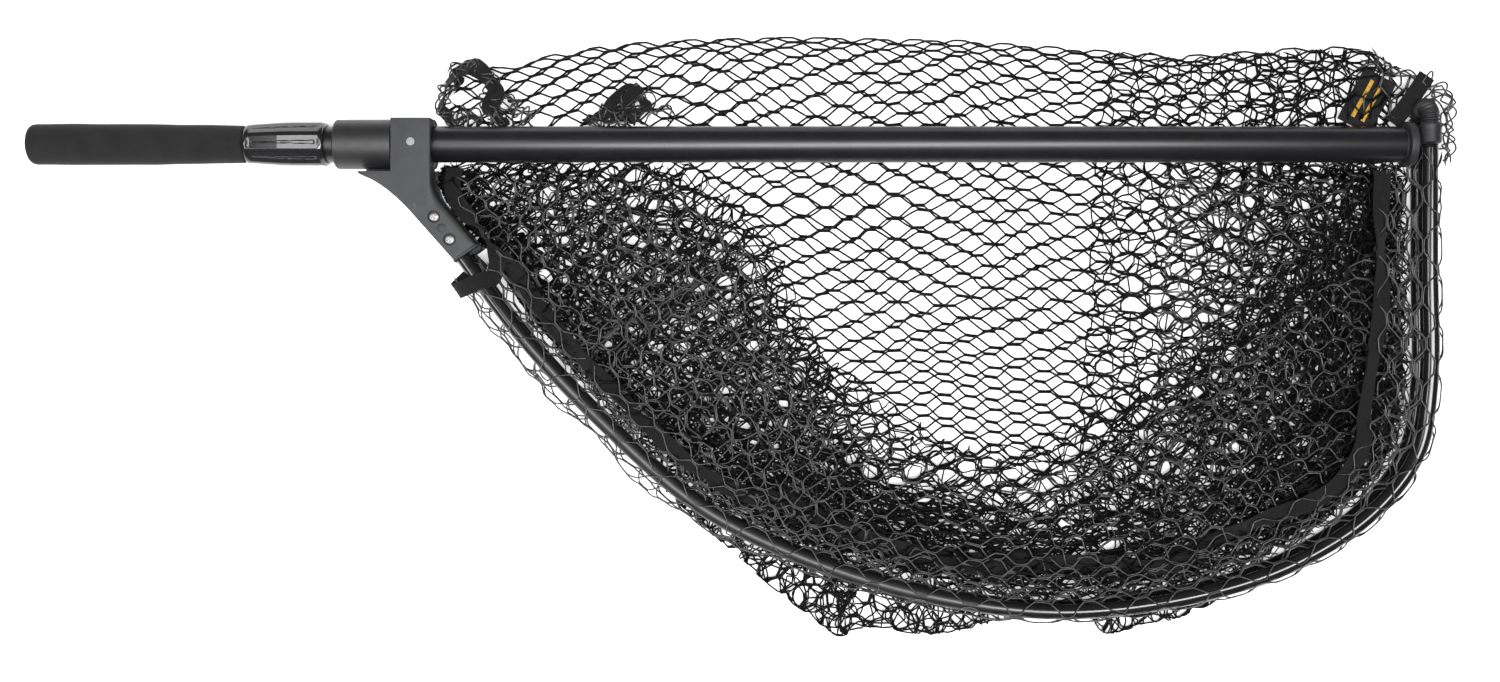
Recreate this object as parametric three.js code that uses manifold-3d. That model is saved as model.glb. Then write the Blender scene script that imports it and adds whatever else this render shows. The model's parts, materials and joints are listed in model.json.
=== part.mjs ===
// Folding landing net: a telescopic handle, a book-fold hoop in two halves and a mesh bag.
// It is stored folded and lies flat: +X runs from the grip to the hoop tip and +Z is up.
// Millimetres. The origin is on the floor, below the handle axis, under the sleeve's foot.
import * as THREE from "three";
import { mergeVertices } from "three/addons/utils/BufferGeometryUtils.js";
import Module from "manifold-3d";

const wasm = await Module();
wasm.setup();

// ---------- driving dimensions ----------
const GAP = 0.3; // clearance between neighbours that touch or slide
const AXIS_Z = 21.5; // height of the handle axis over the floor
const FOOT_X = 30; // the fold block's centre lies this far from the origin along X

const TUBE_R = 15; // main tube, outside
const TUBE_WALL = 1.5;
const TUBE_LEFT = -100;
const TUBE_RIGHT = 820.5;

const INNER_R = 13; // telescopic inner tube, outside
const INNER_WALL = 1.2;
const INNER_LEFT = -306;
const INNER_RIGHT = 554;

const SLEEVE_R = 20.5; // hub sleeve of the back yoke
const SLEEVE_LEFT = -65.6;
const SLEEVE_RIGHT = -17;
const LINER_R = 17.3; // counterbore that holds the nylon liner
const LINER_LENGTH = 15;
const JOURNAL_R = 17.6; // the front yoke's knuckle turns on it
const JOURNAL_RIGHT = 15.7;
const BORE_R = TUBE_R + GAP;
const GROOVE = { left: 13.6, right: 15, radius: 16.9 }; // holds the circlip on the journal
const RECESS = { left: 13.3, radius: 19.7 }; // sunk in the knuckle's end for the circlip
const LOCK_GROOVE = { half: 5.6, radius: 16.3 }; // under the lock button

const BLOCK_LEFT = -16.5; // knuckle of the front yoke
const BLOCK_RIGHT = 16;
const BLOCK_TOP = 19.5;
const KNUCKLE_R = 20.5;
const SWEEP_R = Math.hypot(BLOCK_TOP, AXIS_Z) + 0.4; // clears the knuckle's corners as they turn
const ARM_OUT = AXIS_Z; // flat outer face of each arm, from the axis
const ARM_IN = 0.5; // each arm stays this far from the mid plane

const ROD_R = 6.25;
const ROD_WALL = 1.2;
const ROD_PLANE = 12; // distance of each hoop half from the mid plane
const ROD_SEAT = 6.55; // socket radius in the yoke
const TIP_X = 840; // the straight end of the hoop

const SCREW_SPOTS = [
  [19.2, -61.7],
  [32.0, -80.4],
];
const PLUG_SPOT = [25.6, -71.1];
const SCREW_HOLE_R = 2.3;
const SCREW_HEAD = { radius: 4.15, recess: 4.5, depth: 2.7, thick: 2.1 };
const PLUG = { radius: 3.3, recess: 3.6, depth: 2.4 };
const BUTTON_R = 3.5;
const COLLAR_SEAT = 19.1; // underside of the button's collar

const NUT_LEFT = -140.6;
const NUT_RIGHT = -73.1;
const GRIP_LEFT = -319.7;
const GRIP_RIGHT = -141;

const TAPE_WIDTH = 14;
const TAPE_THICK = 1.5;
const TAPE_INSET = 22;

// ---------- helpers: geometry to solid and back ----------
function solid(geometry) {
  const bare = geometry.index ? geometry.toNonIndexed() : geometry.clone();
  bare.deleteAttribute("normal");
  bare.deleteAttribute("uv");
  const merged = mergeVertices(bare, 1e-4);
  const index = merged.index.array;
  const kept = [];
  for (let i = 0; i < index.length; i += 3) {
    const [a, b, c] = [index[i], index[i + 1], index[i + 2]];
    if (a !== b && b !== c && c !== a) kept.push(a, b, c);
  }
  const build = (triangles) =>
    new wasm.Manifold(
      new wasm.Mesh({
        numProp: 3,
        vertProperties: new Float32Array(merged.attributes.position.array),
        triVerts: new Uint32Array(triangles),
      }),
    );
  const made = build(kept);
  return made.volume() >= 0 ? made : build(kept.reverse());
}

function geometryOf(made) {
  const { vertProperties, triVerts } = made.getMesh();
  const shared = new THREE.BufferGeometry();
  shared.setAttribute("position", new THREE.BufferAttribute(vertProperties, 3));
  shared.setIndex(new THREE.BufferAttribute(triVerts, 1));
  const flat = shared.toNonIndexed();
  flat.computeVertexNormals();
  return flat;
}

const cut = (body, ...tools) => tools.reduce((left, tool) => left.subtract(tool), body);
const join = (...bodies) => bodies.reduce((left, right) => left.add(right));

// A profile of [x, radius] pairs, turned about the X axis.
function turned(profile, segments = 40) {
  const points = profile.map(([x, r]) => new THREE.Vector2(r, x));
  const onAxis = profile[0][1] === 0 && profile[profile.length - 1][1] === 0;
  if (!onAxis) points.push(points[0].clone());
  const lathe = new THREE.LatheGeometry(points, segments);
  return solid(lathe.rotateZ(-Math.PI / 2));
}

const ring = (left, right, inner, outer, segments) =>
  turned([[left, inner], [right, inner], [right, outer], [left, outer]], segments);

const rod = (left, right, radius, segments) =>
  turned([[left, 0], [left, radius], [right, radius], [right, 0]], segments);

// An upright cylinder between two heights.
function post(x, y, low, high, radius, segments = 24) {
  const shape = new THREE.CylinderGeometry(radius, radius, high - low, segments);
  shape.rotateX(Math.PI / 2);
  return solid(shape.translate(x, y, (low + high) / 2));
}

function slab(shape, low, high, curveSegments = 10) {
  const options = { depth: high - low, bevelEnabled: false, curveSegments };
  return solid(new THREE.ExtrudeGeometry(shape, options).translate(0, 0, low));
}

function block(x0, x1, y0, y1, z0, z1) {
  const box = new THREE.BoxGeometry(x1 - x0, y1 - y0, z1 - z0);
  return solid(box.translate((x0 + x1) / 2, (y0 + y1) / 2, (z0 + z1) / 2));
}

// A section swept along a curve; the section's x stands along Z on a level curve.
function swept(section, curve, steps, curveSegments = 6) {
  const options = { steps, extrudePath: curve, bevelEnabled: false, curveSegments };
  return solid(new THREE.ExtrudeGeometry(section, options));
}

function disc(radius, hole = 0) {
  const shape = new THREE.Shape().absarc(0, 0, radius, 0, 2 * Math.PI);
  if (hole) shape.holes.push(new THREE.Path().absarc(0, 0, hole, 0, 2 * Math.PI, true));
  return shape;
}

function strip(height, width) {
  const shape = new THREE.Shape();
  shape.moveTo(-height / 2, -width / 2);
  shape.lineTo(height / 2, -width / 2);
  shape.lineTo(height / 2, width / 2);
  shape.lineTo(-height / 2, width / 2);
  return shape;
}

// ---------- the hoop's centre line ----------
const HOOP_POINTS = [
  [16, -57], // seated in the yoke's leg
  [41.5, -94.4],
  [92, -162],
  [153, -227],
  [234, -298],
  [312, -338.5],
  [418, -372.5],
  [533, -387.4], // lowest point of the half hoop
  [643, -375],
  [725, -348.6],
  [791, -306.5],
  [829, -257.5],
  [TIP_X, -200],
  [TIP_X, -100],
  [TIP_X, -1.5], // the tip, just short of the handle axis
];

function hoopCurve(z) {
  const points = HOOP_POINTS.map(([x, y]) => new THREE.Vector3(x, y, z));
  return new THREE.CatmullRomCurve3(points, false, "centripetal");
}

// Points on the centre line moved towards the inside of the hoop.
function insetPoints(distance, from, to, count) {
  const curve = hoopCurve(0);
  const points = [];
  for (let i = 0; i <= count; i += 1) {
    const u = from + ((to - from) * i) / count;
    const tangent = curve.getTangentAt(u);
    const inward = new THREE.Vector3(-tangent.y, tangent.x, 0).multiplyScalar(distance);
    points.push(curve.getPointAt(u).add(inward));
  }
  return points;
}

// ---------- materials ----------
function material(color, roughness, metalness = 0) {
  return new THREE.MeshStandardMaterial({ color, roughness, metalness });
}

const LOOKS = {
  anodised: material(0x1b1b1d, 0.38, 0.6),
  gloss: material(0x0c0c0e, 0.18, 0.3),
  moulded: material(0x3c3d40, 0.55),
  sleeve: material(0x2a2b2e, 0.42),
  nylon: material(0x232326, 0.5),
  foam: material(0x2b2b2c, 0.95),
  rubber: material(0x303134, 0.75),
  steel: material(0xb9b7b3, 0.3, 1),
  button: material(0x8f9092, 0.5),
  netting: material(0x101012, 0.7),
  webbing: material(0x161618, 0.85),
  patch: material(0x19191a, 0.9),
};

function part(group, name, made, look) {
  const mesh = new THREE.Mesh(geometryOf(made), LOOKS[look]);
  mesh.name = name;
  group.add(mesh);
}

// ---------- yokes ----------
// The leg and the flange below the sleeve, as seen from above.
function armOutline(topY, webLeft) {
  const shape = new THREE.Shape();
  shape.moveTo(webLeft, topY);
  shape.lineTo(BLOCK_RIGHT, topY);
  shape.lineTo(BLOCK_RIGHT, -32);
  shape.quadraticCurveTo(17.5, -43, 24.5, -50.5);
  shape.lineTo(53.5, -84.5);
  shape.lineTo(35.5, -97.5);
  shape.lineTo(4, -62);
  shape.quadraticCurveTo(-19, -34, -41.5, -27);
  shape.lineTo(-43.5, -24.3);
  shape.lineTo(webLeft, -24.3);
  return shape;
}

function rodSocket(z) {
  const start = new THREE.Vector3(...HOOP_POINTS[0], z);
  const past = new THREE.Vector3(...HOOP_POINTS[1], z);
  const run = past.clone().sub(start);
  const line = new THREE.LineCurve3(start.addScaledVector(run, -0.06), past.addScaledVector(run, 0.4));
  return swept(disc(ROD_SEAT), line, 1, 10);
}

// Holes for the screws and the plug, cut from the flat outer face inwards.
function fastenerHoles() {
  const past = ARM_OUT + 1;
  const tools = SCREW_SPOTS.flatMap(([x, y]) => [
    post(x, y, ARM_OUT - SCREW_HEAD.depth, past, SCREW_HEAD.recess),
    post(x, y, ROD_PLANE / 2, past, SCREW_HOLE_R),
  ]);
  tools.push(post(...PLUG_SPOT, ARM_OUT - PLUG.depth, past, PLUG.recess));
  return tools;
}

const flipZ = (made) => made.mirror([0, 0, 1]);

function frontYoke() {
  const plate = slab(armOutline(BLOCK_TOP, BLOCK_LEFT), ARM_IN, ARM_OUT);
  const lower = ring(BLOCK_LEFT, BLOCK_RIGHT, JOURNAL_R + GAP, KNUCKLE_R, 48);
  const bore = rod(-60, 40, JOURNAL_R + GAP, 48);
  const buttonHole = post(0, 0, 10, ARM_OUT + 1, BUTTON_R + GAP);
  const buttonPocket = post(0, 0, 10, COLLAR_SEAT + 1, 5.3);
  const recess = rod(RECESS.left, BLOCK_RIGHT + 1, RECESS.radius, 48);
  const body = cut(join(cut(plate, bore), lower), recess);
  return cut(body, rodSocket(ROD_PLANE), buttonHole, buttonPocket, ...fastenerHoles());
}

function backYoke() {
  const leg = slab(armOutline(-10, -43.5), ARM_IN, ARM_OUT);
  const swing = rod(SLEEVE_RIGHT - 0.2, 60, SWEEP_R, 48);
  const foot = block(-43.5, SLEEVE_RIGHT, -26, 12, 8, ARM_OUT);
  const arm = flipZ(join(cut(leg, swing, rodSocket(ROD_PLANE), ...fastenerHoles()), foot));
  const sleeve = turned([
    [SLEEVE_LEFT, BORE_R - 1],
    [SLEEVE_RIGHT, BORE_R - 1],
    [SLEEVE_RIGHT, SLEEVE_R],
    [SLEEVE_LEFT + 2, SLEEVE_R],
    [SLEEVE_LEFT, SLEEVE_R - 2],
  ]);
  const journal = turned([
    [SLEEVE_RIGHT - 1, BORE_R - 1],
    [JOURNAL_RIGHT, BORE_R - 1],
    [JOURNAL_RIGHT, JOURNAL_R],
    [GROOVE.right, JOURNAL_R],
    [GROOVE.right, GROOVE.radius],
    [GROOVE.left, GROOVE.radius],
    [GROOVE.left, JOURNAL_R],
    [LOCK_GROOVE.half, JOURNAL_R],
    [LOCK_GROOVE.half, LOCK_GROOVE.radius],
    [-LOCK_GROOVE.half, LOCK_GROOVE.radius],
    [-LOCK_GROOVE.half, JOURNAL_R],
    [SLEEVE_RIGHT - 1, JOURNAL_R],
  ]);
  const bore = rod(SLEEVE_LEFT - 10, JOURNAL_RIGHT + 10, BORE_R, 40);
  const counterbore = rod(SLEEVE_LEFT - 10, SLEEVE_LEFT + LINER_LENGTH + GAP, LINER_R, 40);
  return cut(join(sleeve, arm, journal), bore, counterbore);
}

// ---------- fasteners and small hub parts ----------
function screw(x, y) {
  const under = ARM_OUT - GAP - SCREW_HEAD.thick;
  const head = post(x, y, under, under + SCREW_HEAD.thick, SCREW_HEAD.radius);
  const shank = post(x, y, 8, under, SCREW_HOLE_R - GAP);
  const [long, half, low] = [2.2, 0.5, ARM_OUT - 1.5]; // the cross recess
  const bars = [
    block(x - long, x + long, y - half, y + half, low, ARM_OUT + 1),
    block(x - half, x + half, y - long, y + long, low, ARM_OUT + 1),
  ];
  return cut(join(head, shank), ...bars);
}

const plug = () => post(...PLUG_SPOT, ARM_OUT - PLUG.depth + GAP, ARM_OUT, PLUG.radius);

function circlip() {
  const left = GROOVE.left + GAP / 2;
  const right = GROOVE.right - GAP / 2;
  const whole = ring(left, right, GROOVE.radius + GAP, RECESS.radius - GAP, 48);
  const slot = 5; // the gap that lets it spring open
  return cut(whole, block(left - 1, right + 1, -slot / 2, slot / 2, 10, 24));
}

function lockButton() {
  const collarTop = COLLAR_SEAT + 0.7;
  const head = post(0, 0, collarTop, ARM_OUT + 0.3, BUTTON_R);
  const collar = post(0, 0, COLLAR_SEAT, collarTop, 5);
  const nose = post(0, 0, COLLAR_SEAT - 0.5, COLLAR_SEAT, 2.4);
  return join(head, collar, nose);
}

// A thin wave washer below the button's collar.
function buttonSpring() {
  const options = { depth: 0.3, bevelEnabled: false, curveSegments: 12 };
  const washer = new THREE.ExtrudeGeometry(disc(4.6, 2.9), options).translate(0, 0, COLLAR_SEAT - 0.8);
  const place = washer.getAttribute("position");
  for (let i = 0; i < place.count; i += 1) {
    const wave = 0.18 * Math.sin(3 * Math.atan2(place.getY(i), place.getX(i)));
    place.setZ(i, place.getZ(i) + wave);
  }
  return solid(washer);
}

// ---------- hoop rods and tip ----------
function hoopRod() {
  const whole = swept(disc(ROD_R, ROD_R - ROD_WALL), hoopCurve(ROD_PLANE), 44, 5);
  const holes = SCREW_SPOTS.map(([x, y]) => post(x, y, 7, ARM_OUT, SCREW_HOLE_R));
  return cut(whole, ...holes);
}

// The rubber elbow that joins the two rod ends past the handle axis.
function tipElbow() {
  const straightTop = 18;
  const mouth = -0.7;
  const line = new THREE.CurvePath();
  const down = new THREE.Vector3(TIP_X, mouth, ROD_PLANE);
  const turn = new THREE.Vector3(TIP_X, straightTop, ROD_PLANE);
  const back = new THREE.Vector3(TIP_X, straightTop, -ROD_PLANE);
  const end = new THREE.Vector3(TIP_X, mouth, -ROD_PLANE);
  const reach = 17;
  const high = new THREE.Vector3(TIP_X, straightTop + reach, ROD_PLANE);
  const low = new THREE.Vector3(TIP_X, straightTop + reach, -ROD_PLANE);
  line.add(new THREE.LineCurve3(down, turn));
  line.add(new THREE.CubicBezierCurve3(turn, high, low, back));
  line.add(new THREE.LineCurve3(back, end));
  return swept(disc(9), line, 22, 6);
}

// ---------- handle ----------
const mainTube = () => ring(TUBE_LEFT, TUBE_RIGHT, TUBE_R - TUBE_WALL, TUBE_R, 40);

function endCap() {
  const inside = TUBE_R - TUBE_WALL - GAP;
  const flangeLeft = TUBE_RIGHT + 2.2;
  const flangeRight = TUBE_RIGHT + 8.9;
  const flangeR = 19;
  return turned([
    [flangeLeft - 24, inside - 2],
    [flangeLeft - 24, inside],
    [flangeLeft, inside],
    [flangeLeft, flangeR - 0.8],
    [flangeLeft + 0.8, flangeR],
    [flangeRight - 1.2, flangeR],
    [flangeRight, flangeR - 1.2],
    [flangeRight, 0],
    [flangeRight - 3, 0],
    [flangeRight - 3, inside - 2],
  ]);
}

const endWasher = () => ring(TUBE_RIGHT + GAP, TUBE_RIGHT + 1.9, TUBE_R - TUBE_WALL, TUBE_R - 0.2, 36);

function twistNut() {
  const [left, right] = [NUT_LEFT, NUT_RIGHT];
  const facets = 16;
  const outside = turned(
    [
      [left, 0],
      [left, 14.2],
      [left + 1.6, 15.6],
      [left + 8, 16.4],
      [left + 26, 18.4],
      [left + 34, 18.9],
      [right - 3, 18.9],
      [right, 16.6],
      [right, 0],
    ],
    facets,
  );
  const rearBore = rod(left - 5, left + 9.6, INNER_R + GAP, 36);
  const frontBore = rod(left + 9.5, right + 5, TUBE_R + GAP, 36);
  return cut(outside, rearBore, frontBore);
}

// A split sleeve that the nut squeezes on the inner tube.
function collet() {
  const left = NUT_LEFT + 10.1;
  const whole = ring(left, TUBE_LEFT - 0.5, INNER_R + GAP, TUBE_R, 36);
  const slit = { length: 24.5, half: 1 };
  return cut(whole, block(left - 0.5, left + slit.length, -slit.half, slit.half, 0, TUBE_R + 5));
}

const liner = () => ring(SLEEVE_LEFT + GAP, SLEEVE_LEFT + LINER_LENGTH, BORE_R - 0.1, LINER_R - GAP, 40);

// ---------- grip ----------
const innerTube = () => ring(INNER_LEFT, INNER_RIGHT, INNER_R - INNER_WALL, INNER_R, 36);

function foamGrip() {
  const [left, right] = [GRIP_LEFT, GRIP_RIGHT];
  const inside = INNER_R + GAP;
  return turned([
    [left, inside],
    [left, 14.6],
    [left + 1.4, 16.1],
    [left + 3.6, 16.9],
    [left + 90, 16.7],
    [right - 6, 15.7],
    [right - 1.5, 15.4],
    [right, 14.4],
    [right, inside],
  ]);
}

function buttCap() {
  const plugR = INNER_R - INNER_WALL - GAP;
  const left = GRIP_LEFT + 0.7;
  return turned([
    [left, 0],
    [left, 11.6],
    [left + 1.2, INNER_R - 0.2],
    [INNER_LEFT - GAP, INNER_R - 0.2],
    [INNER_LEFT - GAP, plugR],
    [INNER_LEFT + 16, plugR],
    [INNER_LEFT + 16, 0],
  ]);
}

function innerGuide() {
  const plugR = INNER_R - INNER_WALL - GAP;
  return turned([
    [INNER_RIGHT - 18, 0],
    [INNER_RIGHT - 18, plugR],
    [INNER_RIGHT + GAP, plugR],
    [INNER_RIGHT + GAP, TUBE_R - TUBE_WALL - 0.25],
    [INNER_RIGHT + 6, TUBE_R - TUBE_WALL - 0.25],
    [INNER_RIGHT + 6, 0],
  ]);
}

// ---------- netting and tapes (plain soft solids) ----------
function shapeFrom(points) {
  const shape = new THREE.Shape();
  points.forEach(([x, y], i) => (i ? shape.lineTo(x, y) : shape.moveTo(x, y)));
  return shape;
}

const flat = (points) => points.map(({ x, y }) => [x, y]);

// The bag lies gathered in the back half; a single fold of it reaches past the handle.
// The gathers leave a window in the middle where only the flat sheet lies.
const HEAP_WINDOW = [
  [209, -30],
  [270, -48],
  [300, -78],
  [320, -121],
  [337, -171],
  [363, -213],
  [400, -248],
  [455, -264],
  [522, -248],
  [560, -215],
  [566, -30],
];

function netBag() {
  const floor = -AXIS_Z;
  const sheetTop = floor + 2;
  const foldTopZ = floor + 5;
  const heapTop = floor + 16;
  const foldTop = [
    [TIP_X - 12, 62],
    [TIP_X - 60, 84],
    [600, 84],
    [400, 90],
    [220, 86],
    [110, 66],
    [62, 40],
    [62, -20],
  ];
  const inside = flat(insetPoints(10, 0.075, 0.985, 46));
  const sheet = slab(shapeFrom([...inside, ...foldTop]), floor, sheetTop);
  const foldEdge = [[62, 21.5], [TIP_X - 12, 21.5], ...foldTop.slice(0, -1)];
  const fold = slab(shapeFrom(foldEdge), floor, foldTopZ);
  const heap = flat(insetPoints(44, 0.15, 0.93, 36));
  const heapEdge = [...heap, [TIP_X - 46, -24], [95, -24], [78, -60]];
  const gathered = slab(shapeFrom(heapEdge), floor, heapTop);
  const window = slab(shapeFrom(HEAP_WINDOW), floor - 1, heapTop + 1);
  return join(sheet, fold, cut(gathered, window));
}

function rimTape(z) {
  const points = insetPoints(TAPE_INSET, 0.09, 0.975, 24);
  points.forEach((point) => point.setZ(z));
  const curve = new THREE.CatmullRomCurve3(points, false, "centripetal");
  return swept(strip(TAPE_THICK, TAPE_WIDTH), curve, 60);
}

// A webbing loop hung on the front rod, just past the yoke.
function strapLoop() {
  const away = 13; // how far the loop hangs off the rod
  const inner = 8;
  const outer = inner + 1.6;
  const width = 15;
  const race = (r) => {
    const path = new THREE.Shape();
    path.absarc(0, 0, r, -Math.PI / 2, Math.PI / 2);
    path.absarc(-away, 0, r, Math.PI / 2, (3 * Math.PI) / 2);
    return path;
  };
  const band = race(outer);
  band.holes.push(race(inner));
  const options = { depth: width, bevelEnabled: false, curveSegments: 10 };
  const loop = new THREE.ExtrudeGeometry(band, options).translate(0, 0, -width / 2);
  const along = new THREE.Vector3(0.6, -0.8, 0);
  const across = new THREE.Vector3(0.8, 0.6, 0);
  const up = new THREE.Vector3().crossVectors(along, across);
  loop.applyMatrix4(new THREE.Matrix4().makeBasis(across, up, along));
  return solid(loop.translate(58.5, -118, ROD_PLANE));
}

function labelPatch() {
  const [length, width, thick, turn] = [46, 32, 1.4, 0.5];
  const patch = new THREE.BoxGeometry(length, width, thick).rotateZ(turn);
  return solid(patch.translate(TIP_X - 48, 44, -AXIS_Z + 6.3));
}

// A short knot of tie tape that gathers the net's fold.
function tieKnot(x, y) {
  const [length, width, thick, turn] = [30, 20, 10, 0.5];
  const knot = new THREE.SphereGeometry(0.5, 16, 10).scale(length, width, thick).rotateZ(turn);
  return solid(knot.translate(x, y, -AXIS_Z + 10.5));
}

// ---------- assembly ----------
const net = new THREE.Group();
const hub = new THREE.Group();
hub.position.set(FOOT_X, 0, AXIS_Z);
net.add(hub);

part(hub, "back_yoke", backYoke(), "sleeve");
part(hub, "hub_liner", liner(), "nylon");
part(hub, "hub_circlip", circlip(), "steel");
part(hub, "back_rod", flipZ(hoopRod()), "gloss");
part(hub, "front_yoke", frontYoke(), "moulded");
part(hub, "front_rod", hoopRod(), "gloss");
SCREW_SPOTS.forEach(([x, y], i) => {
  part(hub, `front_screw_${i + 1}`, screw(x, y), "steel");
  part(hub, `back_screw_${i + 1}`, flipZ(screw(x, y)), "steel");
});
part(hub, "front_plug", plug(), "nylon");
part(hub, "back_plug", flipZ(plug()), "nylon");
part(hub, "lock_button", lockButton(), "button");
part(hub, "button_spring", buttonSpring(), "steel");
part(hub, "tip_elbow", tipElbow(), "rubber");

part(hub, "main_tube", mainTube(), "anodised");
part(hub, "tube_end_cap", endCap(), "nylon");
part(hub, "end_washer", endWasher(), "steel");
part(hub, "collet", collet(), "nylon");
part(hub, "twist_lock_nut", twistNut(), "nylon");
part(hub, "inner_tube", innerTube(), "anodised");
part(hub, "inner_guide", innerGuide(), "nylon");
part(hub, "foam_grip", foamGrip(), "foam");
part(hub, "butt_cap", buttCap(), "rubber");

part(hub, "net_bag", netBag(), "netting");
part(hub, "front_rim_tape", rimTape(ROD_PLANE), "webbing");
part(hub, "back_rim_tape", rimTape(-ROD_PLANE), "webbing");
part(hub, "strap_loop", strapLoop(), "webbing");
part(hub, "label_patch", labelPatch(), "patch");
part(hub, "tie_knot_1", tieKnot(150, 32), "webbing");
part(hub, "tie_knot_2", tieKnot(72, 34), "webbing");

export default net;
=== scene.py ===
"""Folding landing net, folded flat for storage, seen from straight above."""

import contextlib
import json
import math

import bmesh
import bpy
import numpy as np
from mathutils import Matrix, Vector


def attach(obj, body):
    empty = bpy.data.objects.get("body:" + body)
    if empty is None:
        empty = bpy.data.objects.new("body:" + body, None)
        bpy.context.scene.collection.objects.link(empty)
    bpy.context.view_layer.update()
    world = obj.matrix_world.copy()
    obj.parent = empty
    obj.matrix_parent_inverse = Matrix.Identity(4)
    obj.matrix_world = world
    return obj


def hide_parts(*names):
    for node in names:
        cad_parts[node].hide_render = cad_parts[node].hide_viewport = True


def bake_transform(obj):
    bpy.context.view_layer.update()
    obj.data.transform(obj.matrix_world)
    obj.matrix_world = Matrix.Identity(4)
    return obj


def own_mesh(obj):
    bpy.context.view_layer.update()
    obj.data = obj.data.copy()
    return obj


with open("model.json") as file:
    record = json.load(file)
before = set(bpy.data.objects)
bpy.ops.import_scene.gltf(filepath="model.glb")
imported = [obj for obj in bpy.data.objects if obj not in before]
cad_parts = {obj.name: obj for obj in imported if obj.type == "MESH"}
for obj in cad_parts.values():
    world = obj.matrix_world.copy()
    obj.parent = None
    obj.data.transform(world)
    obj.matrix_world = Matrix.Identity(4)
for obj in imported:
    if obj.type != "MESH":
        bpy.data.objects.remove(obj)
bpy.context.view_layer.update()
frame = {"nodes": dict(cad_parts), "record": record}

# ---------------------------------------------------------------- dimensions, mm about the hub
MM = 0.001
JOINTS = {j["name"]: j for j in frame["record"]["behaviour"]["joints"]}
HUB = np.array(JOINTS["hoop_fold"]["pos_m"])  # the fold axis, at the fold block's centre

AXIS_Z = HUB[2] / MM  # height of the handle axis over the floor
FLOOR_Z = -AXIS_Z
NET_FLOOR_Z = FLOOR_Z + 0.9  # centre of twine that lies on the floor
ARM_OUT = AXIS_Z  # outer face of the front arm
ARM_IN = 0.5  # inner face, by the plane where the two arms meet
ROD_R = 6.25
ROD_PLANE = 12.0  # the front rod lies this far over the axis, the back rod under it
TUBE_R = 15.0
TUBE_BORE_R = 13.5
TUBE_END = 820.5
BORE_R = 15.3  # the sleeve and the nut, round the main tube
INNER_BORE_R = 13.3  # the nut and the grip, round the inner tube
JOURNAL_R = 17.6
KNUCKLE_BORE_R = 17.9
SLEEVE_R = 20.5
SWEEP_R = math.hypot(19.5, 21.5) + 0.4  # the front half's block swings inside this
SCREW_SPOTS = ((19.2, -61.7), (32.0, -80.4))
PLUG_SPOT = (25.6, -71.1)
TIP_X = 840.0

HOOP_POINTS = (
    (16, -57), (41.5, -94.4), (92, -162), (153, -227), (234, -298),
    (312, -338.5), (418, -372.5), (533, -387.4), (643, -375), (725, -348.6),
    (791, -306.5), (829, -257.5), (TIP_X, -200), (TIP_X, -100), (TIP_X, -1.5),
)


def place(points):
    """Points in millimetres about the hub, in metres in the row frame."""
    return np.asarray(points, float) * MM + HUB


# ---------------------------------------------------------------- small maths
def smooth(t):
    t = np.clip(t, 0.0, 1.0)
    return t * t * (3 - 2 * t)


def mix(a, b, t):
    return a + (b - a) * t


class Ripple:
    """A smooth random field of two coordinates, made of a few sine waves."""

    def __init__(self, seed, wavelength, waves=7):
        rng = np.random.RandomState(seed)
        angle = rng.uniform(0, 2 * math.pi, waves)
        size = 2 * math.pi / (wavelength * rng.uniform(0.6, 1.6, waves))
        self.kx, self.ky = size * np.cos(angle), size * np.sin(angle)
        self.phase = rng.uniform(0, 2 * math.pi, waves)
        self.gain = 1 / math.sqrt(waves / 2)

    def __call__(self, x, y):
        total = 0
        for kx, ky, phase in zip(self.kx, self.ky, self.phase):
            total = total + np.sin(kx * x + ky * y + phase)
        return total * self.gain


def centripetal(points, samples=24):
    """A centripetal Catmull-Rom curve through the points, evenly sampled per span."""
    p = np.asarray(points, float)
    p = np.vstack([2 * p[0] - p[1], p, 2 * p[-1] - p[-2]])
    out = []
    for i in range(1, len(p) - 2):
        a, b, c, d = p[i - 1], p[i], p[i + 1], p[i + 2]
        t0, t1, t2 = (max(np.linalg.norm(v) ** 0.5, 1e-6) for v in (b - a, c - b, d - c))
        m1 = ((b - a) / t0 - (c - a) / (t0 + t1) + (c - b) / t1) * t1
        m2 = ((c - b) / t1 - (d - b) / (t1 + t2) + (d - c) / t2) * t1
        t = np.linspace(0, 1, samples, endpoint=False)[:, None]
        out.append(
            (2 * t**3 - 3 * t**2 + 1) * b + (t**3 - 2 * t**2 + t) * m1
            + (-2 * t**3 + 3 * t**2) * c + (t**3 - t**2) * m2
        )
    out.append(p[-2][None])
    return np.vstack(out)


def distances(line):
    """How far along the line each of its points lies."""
    return np.concatenate([[0], np.cumsum(np.linalg.norm(np.diff(line, axis=0), axis=1))])


def even(line, count):
    """The line again with count points spaced evenly."""
    along = distances(line)
    at = np.linspace(0, along[-1], count)
    return np.stack([np.interp(at, along, line[:, k]) for k in range(line.shape[1])], axis=1)


def level_frame(line):
    """Unit vectors along a line, level across it, and up from it."""
    t = np.gradient(line, axis=0)
    t /= np.linalg.norm(t, axis=1)[:, None]
    side = np.cross((0.0, 0.0, 1.0), t)
    side /= np.maximum(np.linalg.norm(side, axis=1), 1e-6)[:, None]
    return t, side, np.cross(t, side)


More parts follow.
